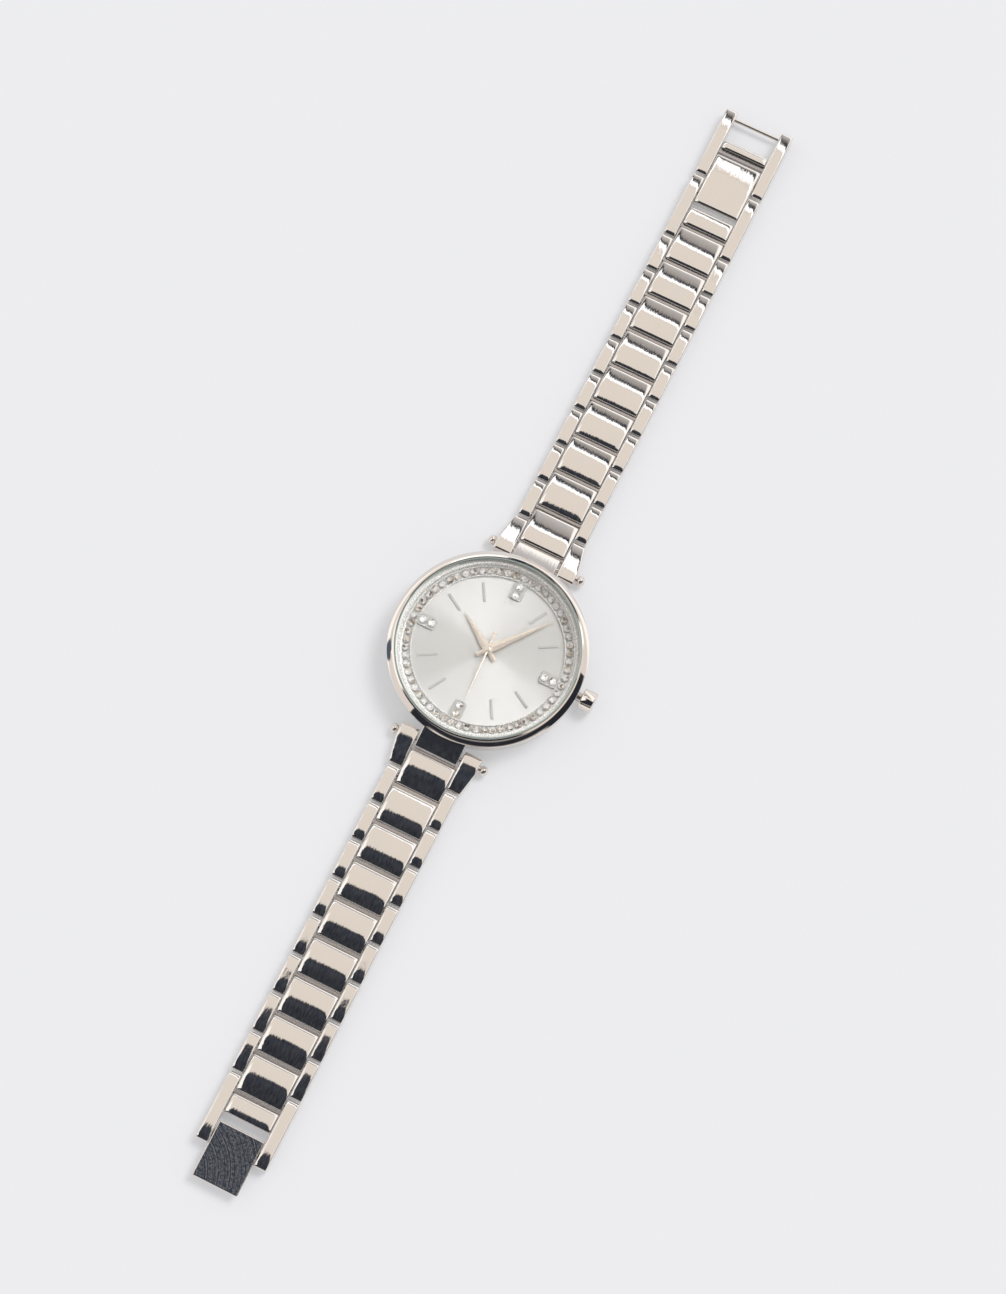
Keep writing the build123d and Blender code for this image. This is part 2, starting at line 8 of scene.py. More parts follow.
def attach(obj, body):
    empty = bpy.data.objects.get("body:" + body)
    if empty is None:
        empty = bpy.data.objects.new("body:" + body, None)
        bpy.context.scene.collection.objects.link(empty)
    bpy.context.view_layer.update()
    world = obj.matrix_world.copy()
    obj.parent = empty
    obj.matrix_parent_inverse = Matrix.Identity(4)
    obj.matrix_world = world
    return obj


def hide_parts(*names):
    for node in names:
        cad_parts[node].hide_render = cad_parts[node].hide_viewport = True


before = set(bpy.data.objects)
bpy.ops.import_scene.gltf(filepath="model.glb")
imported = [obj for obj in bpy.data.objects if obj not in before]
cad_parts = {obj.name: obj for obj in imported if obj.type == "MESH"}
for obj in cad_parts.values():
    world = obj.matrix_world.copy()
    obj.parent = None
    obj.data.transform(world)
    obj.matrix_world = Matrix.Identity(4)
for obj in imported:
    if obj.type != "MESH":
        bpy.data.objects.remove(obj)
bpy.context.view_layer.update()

mm = 0.001  # sizes below are millimetres, and each mesh is scaled once when it is placed


def linear(hexColour):  # sRGB hex to the linear values that a shader socket takes
    values = [int(hexColour[i:i + 2], 16) / 255 for i in (1, 3, 5)]
    return tuple(v / 12.92 if v <= 0.04045 else ((v + 0.055) / 1.055) ** 2.4 for v in values) + (1.0,)


def feed(tree, node, links):  # joins inputs to sockets, or to the first output of other nodes
    for key, source in links.items():
        socket = source if isinstance(source, bpy.types.NodeSocket) else source.outputs[0]
        tree.links.new(socket, node.inputs[key])


def addNode(tree, kind, settings=None, links=None):  # a node with its values and what feeds it
    node = tree.nodes.new(kind)
    for key, value in (settings or {}).items():
        if isinstance(key, int) or key in node.inputs:
            node.inputs[key].default_value = value
        else:
            setattr(node, key, value)
    feed(tree, node, links or {})
    return node


def span(start, end=(0.0, 1.0)):  # map range settings: from one stretch of values to another
    return {"From Min": start[0], "From Max": start[1], "To Min": end[0], "To Max": end[1]}


def newFinish(name, shader):  # a material, its tree and its shader with constants set
    finish = bpy.data.materials.new(name)
    finish.use_nodes = True
    surface = finish.node_tree.nodes["Principled BSDF"]
    for socket, value in shader.items():
        surface.inputs[socket].default_value = value
    return finish, finish.node_tree, surface


def patternAt(tree, sizes, centre=(0, 0, 0)):  # object coordinates where one step is sizes mm long
    sizes = sizes if isinstance(sizes, tuple) else (sizes,) * 3
    place = addNode(tree, "ShaderNodeTexCoord")
    centred = addNode(tree, "ShaderNodeVectorMath", {"operation": "SUBTRACT", 1: [c * mm for c in centre]},
                      {0: place.outputs["Object"]})
    return addNode(tree, "ShaderNodeMapping", {"Scale": [1 / (s * mm) if s else 0 for s in sizes]},
                   {"Vector": centred})


# Camera: solved from the edges of the links and the bezel in the photograph
cameraSettings = {
    "place": (61.2, -117.2, 525.6),
    "aim": (1.77, 2.13, 2.0),
    "up": (-0.4313, 0.8678, 0.2468),
    "lens": 89.0, "sensor": 36, "clip": (0.01, 50),
}


def addCamera():
    s = cameraSettings
    place = Vector(s["place"]) * mm
    back = (place - Vector(s["aim"]) * mm).normalized()
    right = Vector(s["up"]).cross(back).normalized()
    turn = Matrix((right, back.cross(right), back)).transposed()
    data = bpy.data.cameras.new("camera")
    data.lens, data.sensor_width = s["lens"], s["sensor"]
    data.clip_start, data.clip_end = s["clip"]
    camera = bpy.data.objects.new("camera", data)
    camera.matrix_world = Matrix.Translation(place) @ turn.to_4x4()
    bpy.context.scene.collection.objects.link(camera)
    bpy.context.scene.camera = camera


addCamera()

# Studio: pale floor on a light table, soft light all round, one soft lamp from the upper right.
# Polished metal also shows the room: a dark board on the camera's side, warm walls, a strip light.
studio = {
    "floor": "#C8C8CA",      # the paper itself; with its glow it comes out at #EDEDEF
    "glow": ("#EDEDEF", 0.33),
    "floorSize": 3.0, "floorGrain": 0.4, "floorBump": (0.05, 0.05),   # metres; grain and depth in mm
    "backdrop": "#EDEDEF",
    "room": 0.68,            # strength of the light from all round
    "lampStrength": 1.2,
    "lampAngle": 26,
    "lampFrom": (0.62, 0.38, 1.0),
    "right": (0.895, 0.445, 0.0),   # the picture's right and up, laid on the table
    "up": (-0.445, 0.895, 0.0),
    "boardSlant": 0.071,     # the dark board's edge slants by this much
    "boardLeft": (-0.16, -0.36),    # its rounded left end, as metres sideways per metre up
    "boardEdge": (0.095, 0.195),    # and the same for its rounded upper corner
    "boardCorner": (0.96, 1.04),    # how soft that corner is
    "boardFlare": (-0.1, 1.56),     # below this the board reaches further left
    "leftWall": ((-0.165, -0.19), (0.34, 0.28)),    # where the left wall shows: sideways, and how high
    "rightLean": ((-0.05, 0.3), 0.26),              # to the right all the room's lines come down
    "rightWall": ((0.22, 0.30), (0.14, 0.16)),      # where the right wall shows
    "lowestRay": 0.01,       # flatter rays are taken as this steep
    "farAway": (0.7, 1.1),   # from near to far, sideways
    "near": ("#FFFDFA", 1.25),      # walls close by are lit white, far ones are a dull pink
    "far": ("#F0EAE6", 1.0),
    "belt": (0.165, 0.12),   # height of the far walls' pale belt, as the rise of a ray, soft between the two
    "foot": (0.118, 0.103),  # the lit foot of the walls
    "ragged": ((0.488, 0.5), 0.15),  # the strip light's far edge is ragged: from and to in radians, and by how much
    "streaks": (8.0, 13.0),  # the rags: how much finer across than along, and how many
    "dip": ((-0.01, 0.10), (-0.78, -0.22)),         # to the right the dark behind the light comes down
    "backSlant": -0.5,
    "highWall": ((0.43, 0.48), (-0.95, -1.2), "#A5A19E"),   # behind the camera a grey wall above this rise of a ray
    "lowWall": ((0.31, 0.27), (-0.66, -0.74)),              # and a pale one below, the dark board between them
    "window": ((-0.966, 0.228, 0.12), (0.991, 0.995), "#566272"),   # a blue window low on the left
    # what shows at each angle from straight up, towards the top of the picture: degrees, colour, strength
    "bands": [
        (-90, "#2A2D34", 1.0), (-30, "#2B2E36", 1.0), (1.0, "#2C3038", 1.0), (5.0, "#363B45", 1.0),
        (7.7, "#30343D", 1.0), (8.5, "#F3EAE1", 1.0), (25.2, "#F5ECE3", 1.0), (25.6, "#B9A797", 1.0),
        (26.0, "#FFFFFF", 1.5), (29.0, "#FFFFFF", 1.5), (29.3, "#222A36", 1.0), (33.0, "#2C3440", 1.0),
        (33.8, "#A19B98", 1.0), (37.0, "#B5B0AC", 1.0), (41.0, "#C9C6C8", 1.0), (60, "#E2E0DF", 1.0),
        (70, "#F4F1EE", 1.0), (90, "#F7F5F2", 1.0),
    ],
}


def addFloor():
    s = studio
    mesh = bpy.data.meshes.new("floor")
    part = bmesh.new()
    bmesh.ops.create_grid(part, x_segments=2, y_segments=2, size=s["floorSize"])
    part.to_mesh(mesh)
    part.free()
    floor = bpy.data.objects.new("floor", mesh)
    bpy.context.scene.collection.objects.link(floor)
    glow, strength = s["glow"]
    finish, tree, surface = newFinish("matt white paper", {
        "Base Color": linear(s["floor"]), "Roughness": 0.9, "Specular IOR Level": 0.0,
        "Emission Color": linear(glow), "Emission Strength": strength})
    grain = addNode(tree, "ShaderNodeTexNoise", {"Scale": 1.0, "Detail": 3.0},
                    {"Vector": patternAt(tree, s["floorGrain"])})
    strength, depth = s["floorBump"]
    bump = addNode(tree, "ShaderNodeBump", {"Strength": strength, "Distance": depth * mm}, {"Height": grain})
    feed(tree, surface, {"Normal": bump})
    mesh.materials.append(finish)


def inRoom(sideways, forward, height):  # from the picture's right and up to the scene's own axes
    return Vector(studio["right"]) * sideways + Vector(studio["up"]) * forward + Vector((0, 0, height))


def addLamp():
    s = studio
    data = bpy.data.lights.new("softLamp", "SUN")
    data.energy, data.angle = s["lampStrength"], radians(s["lampAngle"])
    lamp = bpy.data.objects.new("softLamp", data)
    lamp.matrix_world = inRoom(*s["lampFrom"]).to_track_quat("Z", "Y").to_matrix().to_4x4()
    lamp.visible_glossy = False
    bpy.context.scene.collection.objects.link(lamp)


def lit(colour, strength=1.0):  # a wall's colour, brighter than white where it is lit
    return [c * strength for c in linear(colour)[:3]] + [1.0]


def setStops(ramp, places):  # a colour ramp's (position, colour) pairs
    stops = ramp.color_ramp.elements
    stops[0].position, stops[1].position = 0.0, 1.0
    for _ in places[2:]:
        stops.new(0.5)
    for stop, (at, colour) in zip(stops, places):
        stop.position, stop.color = at, colour


def addWorld():
    s = studio
    world = bpy.data.worlds.new("studio")
    bpy.context.scene.world = world
    world.use_nodes = True
    tree = world.node_tree
    tree.nodes.clear()
    way = addNode(tree, "ShaderNodeTexCoord").outputs["Generated"]
    rise = addNode(tree, "ShaderNodeSeparateXYZ", links={0: way}).outputs["Z"]
    height = addNode(tree, "ShaderNodeMath", {"operation": "MAXIMUM", 1: s["lowestRay"]}, {0: rise})
    alongRight, alongUp = [addNode(tree, "ShaderNodeVectorMath", {"operation": "DOT_PRODUCT", 1: s[side]},
                                   {0: way}).outputs["Value"] for side in ("right", "up")]
    sideways, forward = [addNode(tree, "ShaderNodeMath", {"operation": "DIVIDE"}, {0: along, 1: height})
                         for along in (alongRight, alongUp)]
    slanted = addNode(tree, "ShaderNodeMath", {"operation": "MULTIPLY_ADD", 1: s["boardSlant"]},
                      {0: sideways, 2: forward})
    stretch, most = s["rightLean"]
    lean = addNode(tree, "ShaderNodeMapRange", span(stretch, (0, most)), {"Value": sideways})
    nearby = addNode(tree, "ShaderNodeMapRange", span(s["farAway"][::-1]), {"Value": sideways})
    raised = addNode(tree, "ShaderNodeMath", {"operation": "MULTIPLY_ADD"}, {0: lean, 1: nearby, 2: slanted})
    angle = addNode(tree, "ShaderNodeMath", {"operation": "ARCTANGENT"}, {0: raised})

    # bands across the room, the strip light's far edge ragged
    finer, many = s["streaks"]
    across = addNode(tree, "ShaderNodeMath", {"operation": "MULTIPLY", 1: finer}, {0: sideways})
    onWall = addNode(tree, "ShaderNodeCombineXYZ", links={0: across, 1: angle})
    rags = addNode(tree, "ShaderNodeTexNoise", {"Scale": many, "Detail": 1.0}, {"Vector": onWall})
    dip = addNode(tree, "ShaderNodeMapRange", span(*s["dip"]), {"Value": sideways})
    centred = addNode(tree, "ShaderNodeMath", {"operation": "ADD"}, {0: rags, 1: dip})
    stretch, most = s["ragged"]
    atEdge = addNode(tree, "ShaderNodeMapRange", span(stretch, (0, most)), {"Value": angle})
    frayed = addNode(tree, "ShaderNodeMath", {"operation": "MULTIPLY_ADD"}, {0: centred, 1: atEdge, 2: angle})
    share = addNode(tree, "ShaderNodeMapRange", span((-pi / 2, pi / 2)), {"Value": frayed})
    ramp = addNode(tree, "ShaderNodeValToRGB", links={0: share})
    setStops(ramp, [((degrees + 90) / 180, lit(colour, strength)) for degrees, colour, strength in s["bands"]])

    # left of the board the near wall shows, round a rounded corner
    below, flare = s["boardFlare"]
    under = addNode(tree, "ShaderNodeMath", {"operation": "SUBTRACT", 1: below}, {0: slanted})
    under = addNode(tree, "ShaderNodeMath", {"operation": "MINIMUM", 1: 0.0}, {0: under})
    flared = addNode(tree, "ShaderNodeMath", {"operation": "MULTIPLY_ADD", 1: -flare}, {0: under, 2: sideways})
    cornerX = addNode(tree, "ShaderNodeMapRange", span(s["boardLeft"], (0, 2)), {"Value": flared})
    cornerY = addNode(tree, "ShaderNodeMapRange", span(s["boardEdge"], (0, 2)), {"Value": slanted})
    corner = addNode(tree, "ShaderNodeCombineXYZ", links={0: cornerX, 1: cornerY})
    reach = addNode(tree, "ShaderNodeVectorMath", {"operation": "LENGTH"}, {0: corner})
    beyond = addNode(tree, "ShaderNodeMapRange", span(s["boardCorner"]), {"Value": reach.outputs["Value"]})
    onLeft = addNode(tree, "ShaderNodeMapRange", span(s["leftWall"][0]), {"Value": flared})
    onLow = addNode(tree, "ShaderNodeMapRange", span(s["leftWall"][1]), {"Value": slanted})
    leftWall = addNode(tree, "ShaderNodeMath", {"operation": "MULTIPLY"}, {0: onLeft, 1: onLow})
    past = addNode(tree, "ShaderNodeMath", {"operation": "MULTIPLY"}, {0: leftWall, 1: beyond})

    # and the right wall above the board
    onRight = addNode(tree, "ShaderNodeMapRange", span(s["rightWall"][0]), {"Value": sideways})
    onHigh = addNode(tree, "ShaderNodeMapRange", span(s["rightWall"][1]), {"Value": raised})
    rightWall = addNode(tree, "ShaderNodeMath", {"operation": "MULTIPLY"}, {0: onRight, 1: onHigh})
    walls = addNode(tree, "ShaderNodeMath", {"operation": "MAXIMUM"}, {0: past, 1: rightWall})
    apart = addNode(tree, "ShaderNodeMath", {"operation": "ABSOLUTE"}, {0: sideways})
    farther = addNode(tree, "ShaderNodeMapRange", span(s["farAway"]), {"Value": apart})
    near, far = lit(*s["near"]), lit(*s["far"])
    wall = addNode(tree, "ShaderNodeMix", {"data_type": "RGBA", 6: near, 7: far}, {0: farther})
    room = addNode(tree, "ShaderNodeMix", {"data_type": "RGBA"}, {0: walls, 6: ramp, 7: wall.outputs[2]})

    # behind the camera the dark board is a strip between a grey wall and a pale one
    over, stretch, grey = s["highWall"]
    overBoard = addNode(tree, "ShaderNodeMapRange", span(over), {"Value": rise})
    toRight = addNode(tree, "ShaderNodeMath", {"operation": "MAXIMUM", 1: 0.0}, {0: sideways})
    backwards = addNode(tree, "ShaderNodeMath", {"operation": "MULTIPLY_ADD", 1: s["backSlant"]},
                        {0: toRight, 2: slanted})
    inBack = addNode(tree, "ShaderNodeMapRange", span(stretch), {"Value": backwards})
    greyWall = addNode(tree, "ShaderNodeMath", {"operation": "MULTIPLY"}, {0: overBoard, 1: inBack})
    low, stretch = s["lowWall"]
    underBoard = addNode(tree, "ShaderNodeMapRange", span(low), {"Value": rise})
    behind = addNode(tree, "ShaderNodeMapRange", span(stretch), {"Value": alongUp})
    paleWall = addNode(tree, "ShaderNodeMath", {"operation": "MULTIPLY"}, {0: underBoard, 1: behind})

    # belt and foot of the far walls, and the window
    belt, foot = [addNode(tree, "ShaderNodeMapRange", span(s[key]), {"Value": rise}) for key in ("belt", "foot")]
    place, stretch, blue = s["window"]
    nearWindow = addNode(tree, "ShaderNodeVectorMath", {"operation": "DOT_PRODUCT", 1: inRoom(*place)}, {0: way})
    window = addNode(tree, "ShaderNodeMapRange", span(stretch), {"Value": nearWindow.outputs["Value"]})
    for cover, colour in ((greyWall, linear(grey)), (paleWall, far), (belt, far), (foot, near), (window, linear(blue))):
        room = addNode(tree, "ShaderNodeMix", {"data_type": "RGBA", 7: colour}, {0: cover, 6: room.outputs[2]})

    rays = addNode(tree, "ShaderNodeLightPath")
    seen = addNode(tree, "ShaderNodeMath", {"operation": "MAXIMUM"},
                   {0: rays.outputs["Is Glossy Ray"], 1: rays.outputs["Is Transmission Ray"]})
    inMetal = addNode(tree, "ShaderNodeBackground", {"Strength": 1.0}, {"Color": room.outputs[2]})
    plain = addNode(tree, "ShaderNodeBackground", {"Color": linear("#FFFFFF"), "Strength": s["room"]})
    backdrop = addNode(tree, "ShaderNodeBackground", {"Color": linear(s["backdrop"]), "Strength": 1.0})
    around = addNode(tree, "ShaderNodeMixShader", links={0: seen, 1: plain, 2: inMetal})
    shown = addNode(tree, "ShaderNodeMixShader", links={0: rays.outputs["Is Camera Ray"], 1: around, 2: backdrop})
    addNode(tree, "ShaderNodeOutputWorld", links={"Surface": shown})
    bpy.context.scene.view_settings.view_transform = "Standard"


addFloor()
addLamp()
addWorld()
print("camera, floor and light ready")

# Finishes
finishes = {}


def grainedMetal(name, colour, metal, rough, grain, detail=4.0, cut=None):  # marks sized in mm; cut: strength, depth
    finish, tree, surface = newFinish(name, {"Base Color": linear(colour), "Metallic": metal})
    marks = addNode(tree, "ShaderNodeTexNoise", {"Scale": 1.0, "Detail": detail}, {"Vector": patternAt(tree, grain)})
    roughness = addNode(tree, "ShaderNodeMapRange", span((0, 1), rough), {"Value": marks})
    feed(tree, surface, {"Roughness": roughness})
    if cut:
        bump = addNode(tree, "ShaderNodeBump", {"Strength": cut[0], "Distance": cut[1] * mm}, {"Height": marks})
        feed(tree, surface, {"Normal": bump})
    return finish


def polishedSteel():  # 316L steel, lapped along the bracelet: a mirror with fine lines that fray its reflections
    finish, tree, surface = newFinish("polished steel", {"Base Color": linear("#E8E4E0")})
    lines = addNode(tree, "ShaderNodeTexNoise", {"Scale": 1.0, "Detail": 4.0, "Roughness": 0.6},
                    {"Vector": patternAt(tree, (0.32, 7.0, 0.32))})  # real lines are 0.01 mm, drawn as coarse as shows
    waves = addNode(tree, "ShaderNodeTexNoise", {"Scale": 1.0, "Detail": 1.0},
                    {"Vector": patternAt(tree, (2.6, 3.4, 2.6))})  # the lap leaves the flat a little uneven
    smudge = addNode(tree, "ShaderNodeTexNoise", {"Scale": 1.0, "Detail": 3.0},
                     {"Vector": patternAt(tree, (1.8, 2.4, 1.8))})
    streaks = addNode(tree, "ShaderNodeTexNoise", {"Scale": 1.0, "Detail": 2.0},
                      {"Vector": patternAt(tree, (0.3, 1.3, 0.3))})
    rough = addNode(tree, "ShaderNodeMapRange", span((0, 1), (0.012, 0.04)), {"Value": smudge})
    haze = addNode(tree, "ShaderNodeMapRange", span((0.35, 0.7), (1.0, 0.965)),
                   {"Value": streaks})  # a trace of polish left in the finest lines
    cut = {}
    for marks, depth in ((waves, 0.010), (streaks, 0.006), (lines, 0.003)):  # each bump lies on the one before
        cut["Normal"] = addNode(tree, "ShaderNodeBump", {"Strength": 1.0, "Distance": depth * mm},
                                {"Height": marks, **cut})
    feed(tree, surface, {"Metallic": haze, "Roughness": rough, **cut})
    return finish


def swirledSteel():  # the clasp plate: steel polished on a wheel, with arcs that bend round its middle
    finish, tree, surface = newFinish("wheel-polished steel", {"Base Color": linear("#CFD0D4")})
    reach = addNode(tree, "ShaderNodeVectorMath", {"operation": "LENGTH"},
                    {0: patternAt(tree, (1, 1, 0), (-9.0, -101.0, 0))})  # mm from the wheel's centre
    arcs = addNode(tree, "ShaderNodeTexNoise", {"noise_dimensions": "1D", "Scale": 4.6, "Detail": 2.0},
                   {"W": reach.outputs["Value"]})
    dashes = addNode(tree, "ShaderNodeTexNoise", {"Scale": 1.0, "Detail": 3.0}, {"Vector": patternAt(tree, 0.42)})
    mixed = addNode(tree, "ShaderNodeMath", {"operation": "MULTIPLY"}, {0: arcs, 1: dashes})
    rough = addNode(tree, "ShaderNodeMapRange", span((0.15, 0.4), (0.03, 0.09)), {"Value": mixed})
    haze = addNode(tree, "ShaderNodeMapRange", span((0.18, 0.38), (0.98, 0.8)), {"Value": mixed})
    cut = addNode(tree, "ShaderNodeBump", {"Strength": 1.0, "Distance": 0.003 * mm}, {"Height": arcs})
    feed(tree, surface, {"Metallic": haze, "Roughness": rough, "Normal": cut})
    return finish


def sunrayDial():  # silvered brass brushed out from the centre: bright and grey fans that turn with the light, and a painted highlight in the base colour that lies along one fixed line
    finish, tree, surface = newFinish("sunray silver", {"Metallic": 0.32, "Roughness": 0.5, "Anisotropic": 0.82})
    flat = addNode(tree, "ShaderNodeVectorMath", {"operation": "NORMALIZE"}, {0: patternAt(tree, (1, 1, 0))})
    rays = addNode(tree, "ShaderNodeTexNoise", {"Scale": 38.0, "Detail": 3.0}, {"Vector": flat})
    cut = addNode(tree, "ShaderNodeBump", {"Strength": 1.0, "Distance": 0.004 * mm}, {"Height": rays})
    across = addNode(tree, "ShaderNodeVectorMath", {"operation": "DOT_PRODUCT", 1: (-0.342, 0.94, 0)},
                     {0: flat}).outputs["Value"]  # how near each ray is to the painted highlight's line
    squared = addNode(tree, "ShaderNodeMath", {"operation": "MULTIPLY"}, {0: across, 1: across})
    paintedHighlight = addNode(tree, "ShaderNodeMapRange", {"interpolation_type": "SMOOTHSTEP", **span((0.16, 0.46))},
                  {"Value": squared})
    tint = addNode(tree, "ShaderNodeMix", {"data_type": "RGBA", 6: linear("#D1D0CD"), 7: linear("#DDDCDA")},
                   {0: paintedHighlight})  # painted highlight: the base colour is a little lighter in two fans along that line
    around = addNode(tree, "ShaderNodeTangent", {"direction_type": "RADIAL", "axis": "Z"})
    feed(tree, surface, {"Base Color": tint.outputs[2], "Normal": cut, "Tangent": around})
    return finish


def clearGlass(name, tint, index):  # clear glass that lets the lamp's light through to what lies behind it
    finish, tree, surface = newFinish(name, {"Base Color": linear(tint), "Roughness": 0.0, "IOR": index,
                                             "Transmission Weight": 1.0})
    rays = addNode(tree, "ShaderNodeLightPath")
    clear = addNode(tree, "ShaderNodeBsdfTransparent", {"Color": linear(tint)})
    mixed = addNode(tree, "ShaderNodeMixShader", links={0: rays.outputs["Is Shadow Ray"], 1: surface, 2: clear})
    feed(tree, tree.nodes["Material Output"], {"Surface": mixed})
    return finish


# painted reflection: the foil's tones stand for the bright and dark glints in the facets
paintedFacetReflections = [(0.0, "#FFFFFF"), (0.6, "#F6EDE2"), (0.74, "#D2C3B2"), (0.86, "#94836F"), (0.95, "#66594C")]


def stoneFoil():  # foil behind the stones, in patches of white, champagne and brown: painted reflections of what the facets show
    finish, tree, surface = newFinish("silver foil", {"Metallic": 0.4})
    patches = addNode(tree, "ShaderNodeTexVoronoi", {"Scale": 1.0}, {"Vector": patternAt(tree, 0.42)})
    parts = addNode(tree, "ShaderNodeSeparateColor", links={0: patches.outputs["Color"]})
    tones = addNode(tree, "ShaderNodeValToRGB", links={0: parts})
    tones.color_ramp.interpolation = "CONSTANT"
    setStops(tones, [(at, linear(colour)) for at, colour in paintedFacetReflections])
    creases = addNode(tree, "ShaderNodeTexNoise", {"Scale": 1.0, "Detail": 2.0}, {"Vector": patternAt(tree, 0.3)})
    rough = addNode(tree, "ShaderNodeMapRange", span((0, 1), (0.08, 0.24)), {"Value": creases})
    feed(tree, surface, {"Base Color": tones, "Roughness": rough})
    return finish


def groundGlass():  # the crystal's ground edge, seen through the glass as a grey-green ring
    finish, tree, surface = newFinish("ground glass edge", {"Roughness": 0.7})
    grind = addNode(tree, "ShaderNodeTexNoise", {"Scale": 1.0, "Detail": 2.0},
                    {"Vector": patternAt(tree, (0.3, 0.3, 0.1))})
    tint = addNode(tree, "ShaderNodeMix", {"data_type": "RGBA", 6: linear("#A3AFA8"), 7: linear("#BBC4BE")},
                   {0: grind})
    feed(tree, surface, {"Base Color": tint.outputs[2]})
    return finish


def brushedBack():  # snap-on back: steel brushed in circles
    finish, tree, surface = newFinish("circle-brushed steel", {"Base Color": linear("#C9C5C1"), "Metallic": 1.0,
                                                               "Anisotropic": 0.6})
    reach = addNode(tree, "ShaderNodeVectorMath", {"operation": "LENGTH"}, {0: patternAt(tree, (1, 1, 0))})
    rings = addNode(tree, "ShaderNodeTexNoise", {"noise_dimensions": "1D", "Scale": 5.0, "Detail": 4.0},
                    {"W": reach.outputs["Value"]})
    rough = addNode(tree, "ShaderNodeMapRange", span((0, 1), (0.24, 0.4)), {"Value": rings})
    cut = addNode(tree, "ShaderNodeBump", {"Strength": 1.0, "Distance": 0.004 * mm}, {"Height": rings})
    feed(tree, surface, {"Roughness": rough, "Normal": cut})
    return finish


def mouldedPlastic(name, colour, other, rough, grain):  # acetal, nitrile or board resin, two near tones
    finish, tree, surface = newFinish(name, {"Roughness": rough})
    marks = addNode(tree, "ShaderNodeTexNoise", {"Scale": 1.0, "Detail": 4.0}, {"Vector": patternAt(tree, grain)})
    tint = addNode(tree, "ShaderNodeMix", {"data_type": "RGBA", 6: linear(colour), 7: linear(other)}, {0: marks})
    cut = addNode(tree, "ShaderNodeBump", {"Strength": 0.5, "Distance": 0.01 * mm}, {"Height": marks})
    feed(tree, surface, {"Base Color": tint.outputs[2], "Normal": cut})
    return finish


def woundCopper():  # enamelled wire laid in turns round the core: orange-red, ribbed every 0.06 mm
    finish, tree, surface = newFinish("enamelled copper wire", {"Base Color": linear("#B4552D"), "Metallic": 0.9,
                                                                "Roughness": 0.3, "Coat Weight": 0.4})
    turns = addNode(tree, "ShaderNodeTexWave", {"Scale": 1.0, "Distortion": 0.3},
                    {"Vector": patternAt(tree, (1.0, 4.0, 4.0))})  # drawn every 0.3 mm so that the turns show
    cut = addNode(tree, "ShaderNodeBump", {"Strength": 1.0, "Distance": 0.03 * mm}, {"Height": turns})
    feed(tree, surface, {"Normal": cut})
    return finish


def makeFinishes():
    stamped = {"cut": (0.8, 0.003)}
    finishes.update({
        "steel": polishedSteel(),
        # bezel, crown and knobs, turned and buffed: a clean mirror with faint rubs
        "mirror": grainedMetal("buffed steel", "#E8E2DC", 1.0, (0.02, 0.075), 1.2, 4.0, (0.6, 0.002)),
        # milled steel where no buff reaches: soft, with cutter marks across, and darker as painted shade for the
        # recesses between the bars
        "satin": grainedMetal("satin steel with painted shade", "#BDB7B5", 1.0, (0.16, 0.32), (3.0, 0.18, 0.18), 3.0, (1.0, 0.006)),
        "swirl": swirledSteel(),
        "dial": sunrayDial(),
        # inner rings, plated and blasted fine: pale grey
        "ring": grainedMetal("plated ring", "#ECECEA", 0.45, (0.2, 0.34), 0.2),
        "flange": grainedMetal("pale flange", "#F2F2F0", 0.15, (0.2, 0.34), 0.2),
        "stone": clearGlass("cut stone glass", "#FFFFFF", 1.6),
        "foil": stoneFoil(),
        "glass": clearGlass("mineral glass", "#FFFFFF", 1.48),
        "glassEdge": groundGlass(),
        # the hands' polished steel has a warm tone, the batons and index plates are satin grey with bright edges
        "hand": grainedMetal("warm polished steel", "#E4DACE", 0.85, (0.16, 0.28), 0.5, 3.0),
        "marker": grainedMetal("grey polished metal", "#C4C4C2", 0.6, (0.28, 0.42), 0.5, 3.0),
        "back": brushedBack(),
        # turned or stamped inner metal
        "pin": grainedMetal("drawn pin steel", "#A8A4A0", 1.0, (0.2, 0.35), (0.15, 2.0, 0.15), **stamped),
        "brass": grainedMetal("turned brass", "#D9B36A", 1.0, (0.18, 0.34), (0.3, 0.3, 0.05), **stamped),
        "plate": grainedMetal("nickelled plate", "#C9C4B8", 1.0, (0.28, 0.42), 0.25, **stamped),
        "cell": grainedMetal("cell steel", "#C8C8C6", 1.0, (0.2, 0.3), (0.6, 0.6, 0.3), **stamped),
        "iron": grainedMetal("soft iron", "#8E8B88", 1.0, (0.35, 0.5), (0.4, 0.1, 0.1), **stamped),
        "copper": woundCopper(),
        "spacer": mouldedPlastic("moulded acetal", "#D8D6CE", "#E4E2DA", 0.45, 0.5),
        "board": mouldedPlastic("glass-resin board", "#1F5A3A", "#2A6B47", 0.4, 0.12),
        "rubber": mouldedPlastic("nitrile rubber", "#1C1C1D", "#262627", 0.7, 0.2),
        "nylon": mouldedPlastic("nylon gasket", "#C9CBC8", "#D6D8D5", 0.5, 0.3),
    })


makeFinishes()
print("finishes made:", len(finishes))


# Mesh helpers: each part is its own bmesh in millimetres until it is placed
def roundEdges(part, offset, segments=3, least=30, chosen=None):  # rounds what bends more than least degrees
    part.normal_update()
    edges = [e for e in part.edges if len(e.link_faces) == 2 and e.calc_face_angle(0) > radians(least)
             and (chosen is None or chosen(e))]
    bmesh.ops.bevel(part, geom=edges, offset=offset, offset_type="OFFSET", segments=segments, profile=0.5,
                    affect="EDGES", material=-1, clamp_overlap=True)


def upright(edge, least=0.1):  # an edge that rises by more than least mm
    return abs(edge.verts[0].co.z - edge.verts[1].co.z) > least


def moved(part, x=0.0, y=0.0, z=0.0):
    bmesh.ops.translate(part, vec=(x, y, z), verts=part.verts)
    return part


def outwards(part):  # all its faces
    bmesh.ops.recalc_face_normals(part, faces=part.faces)
    return part


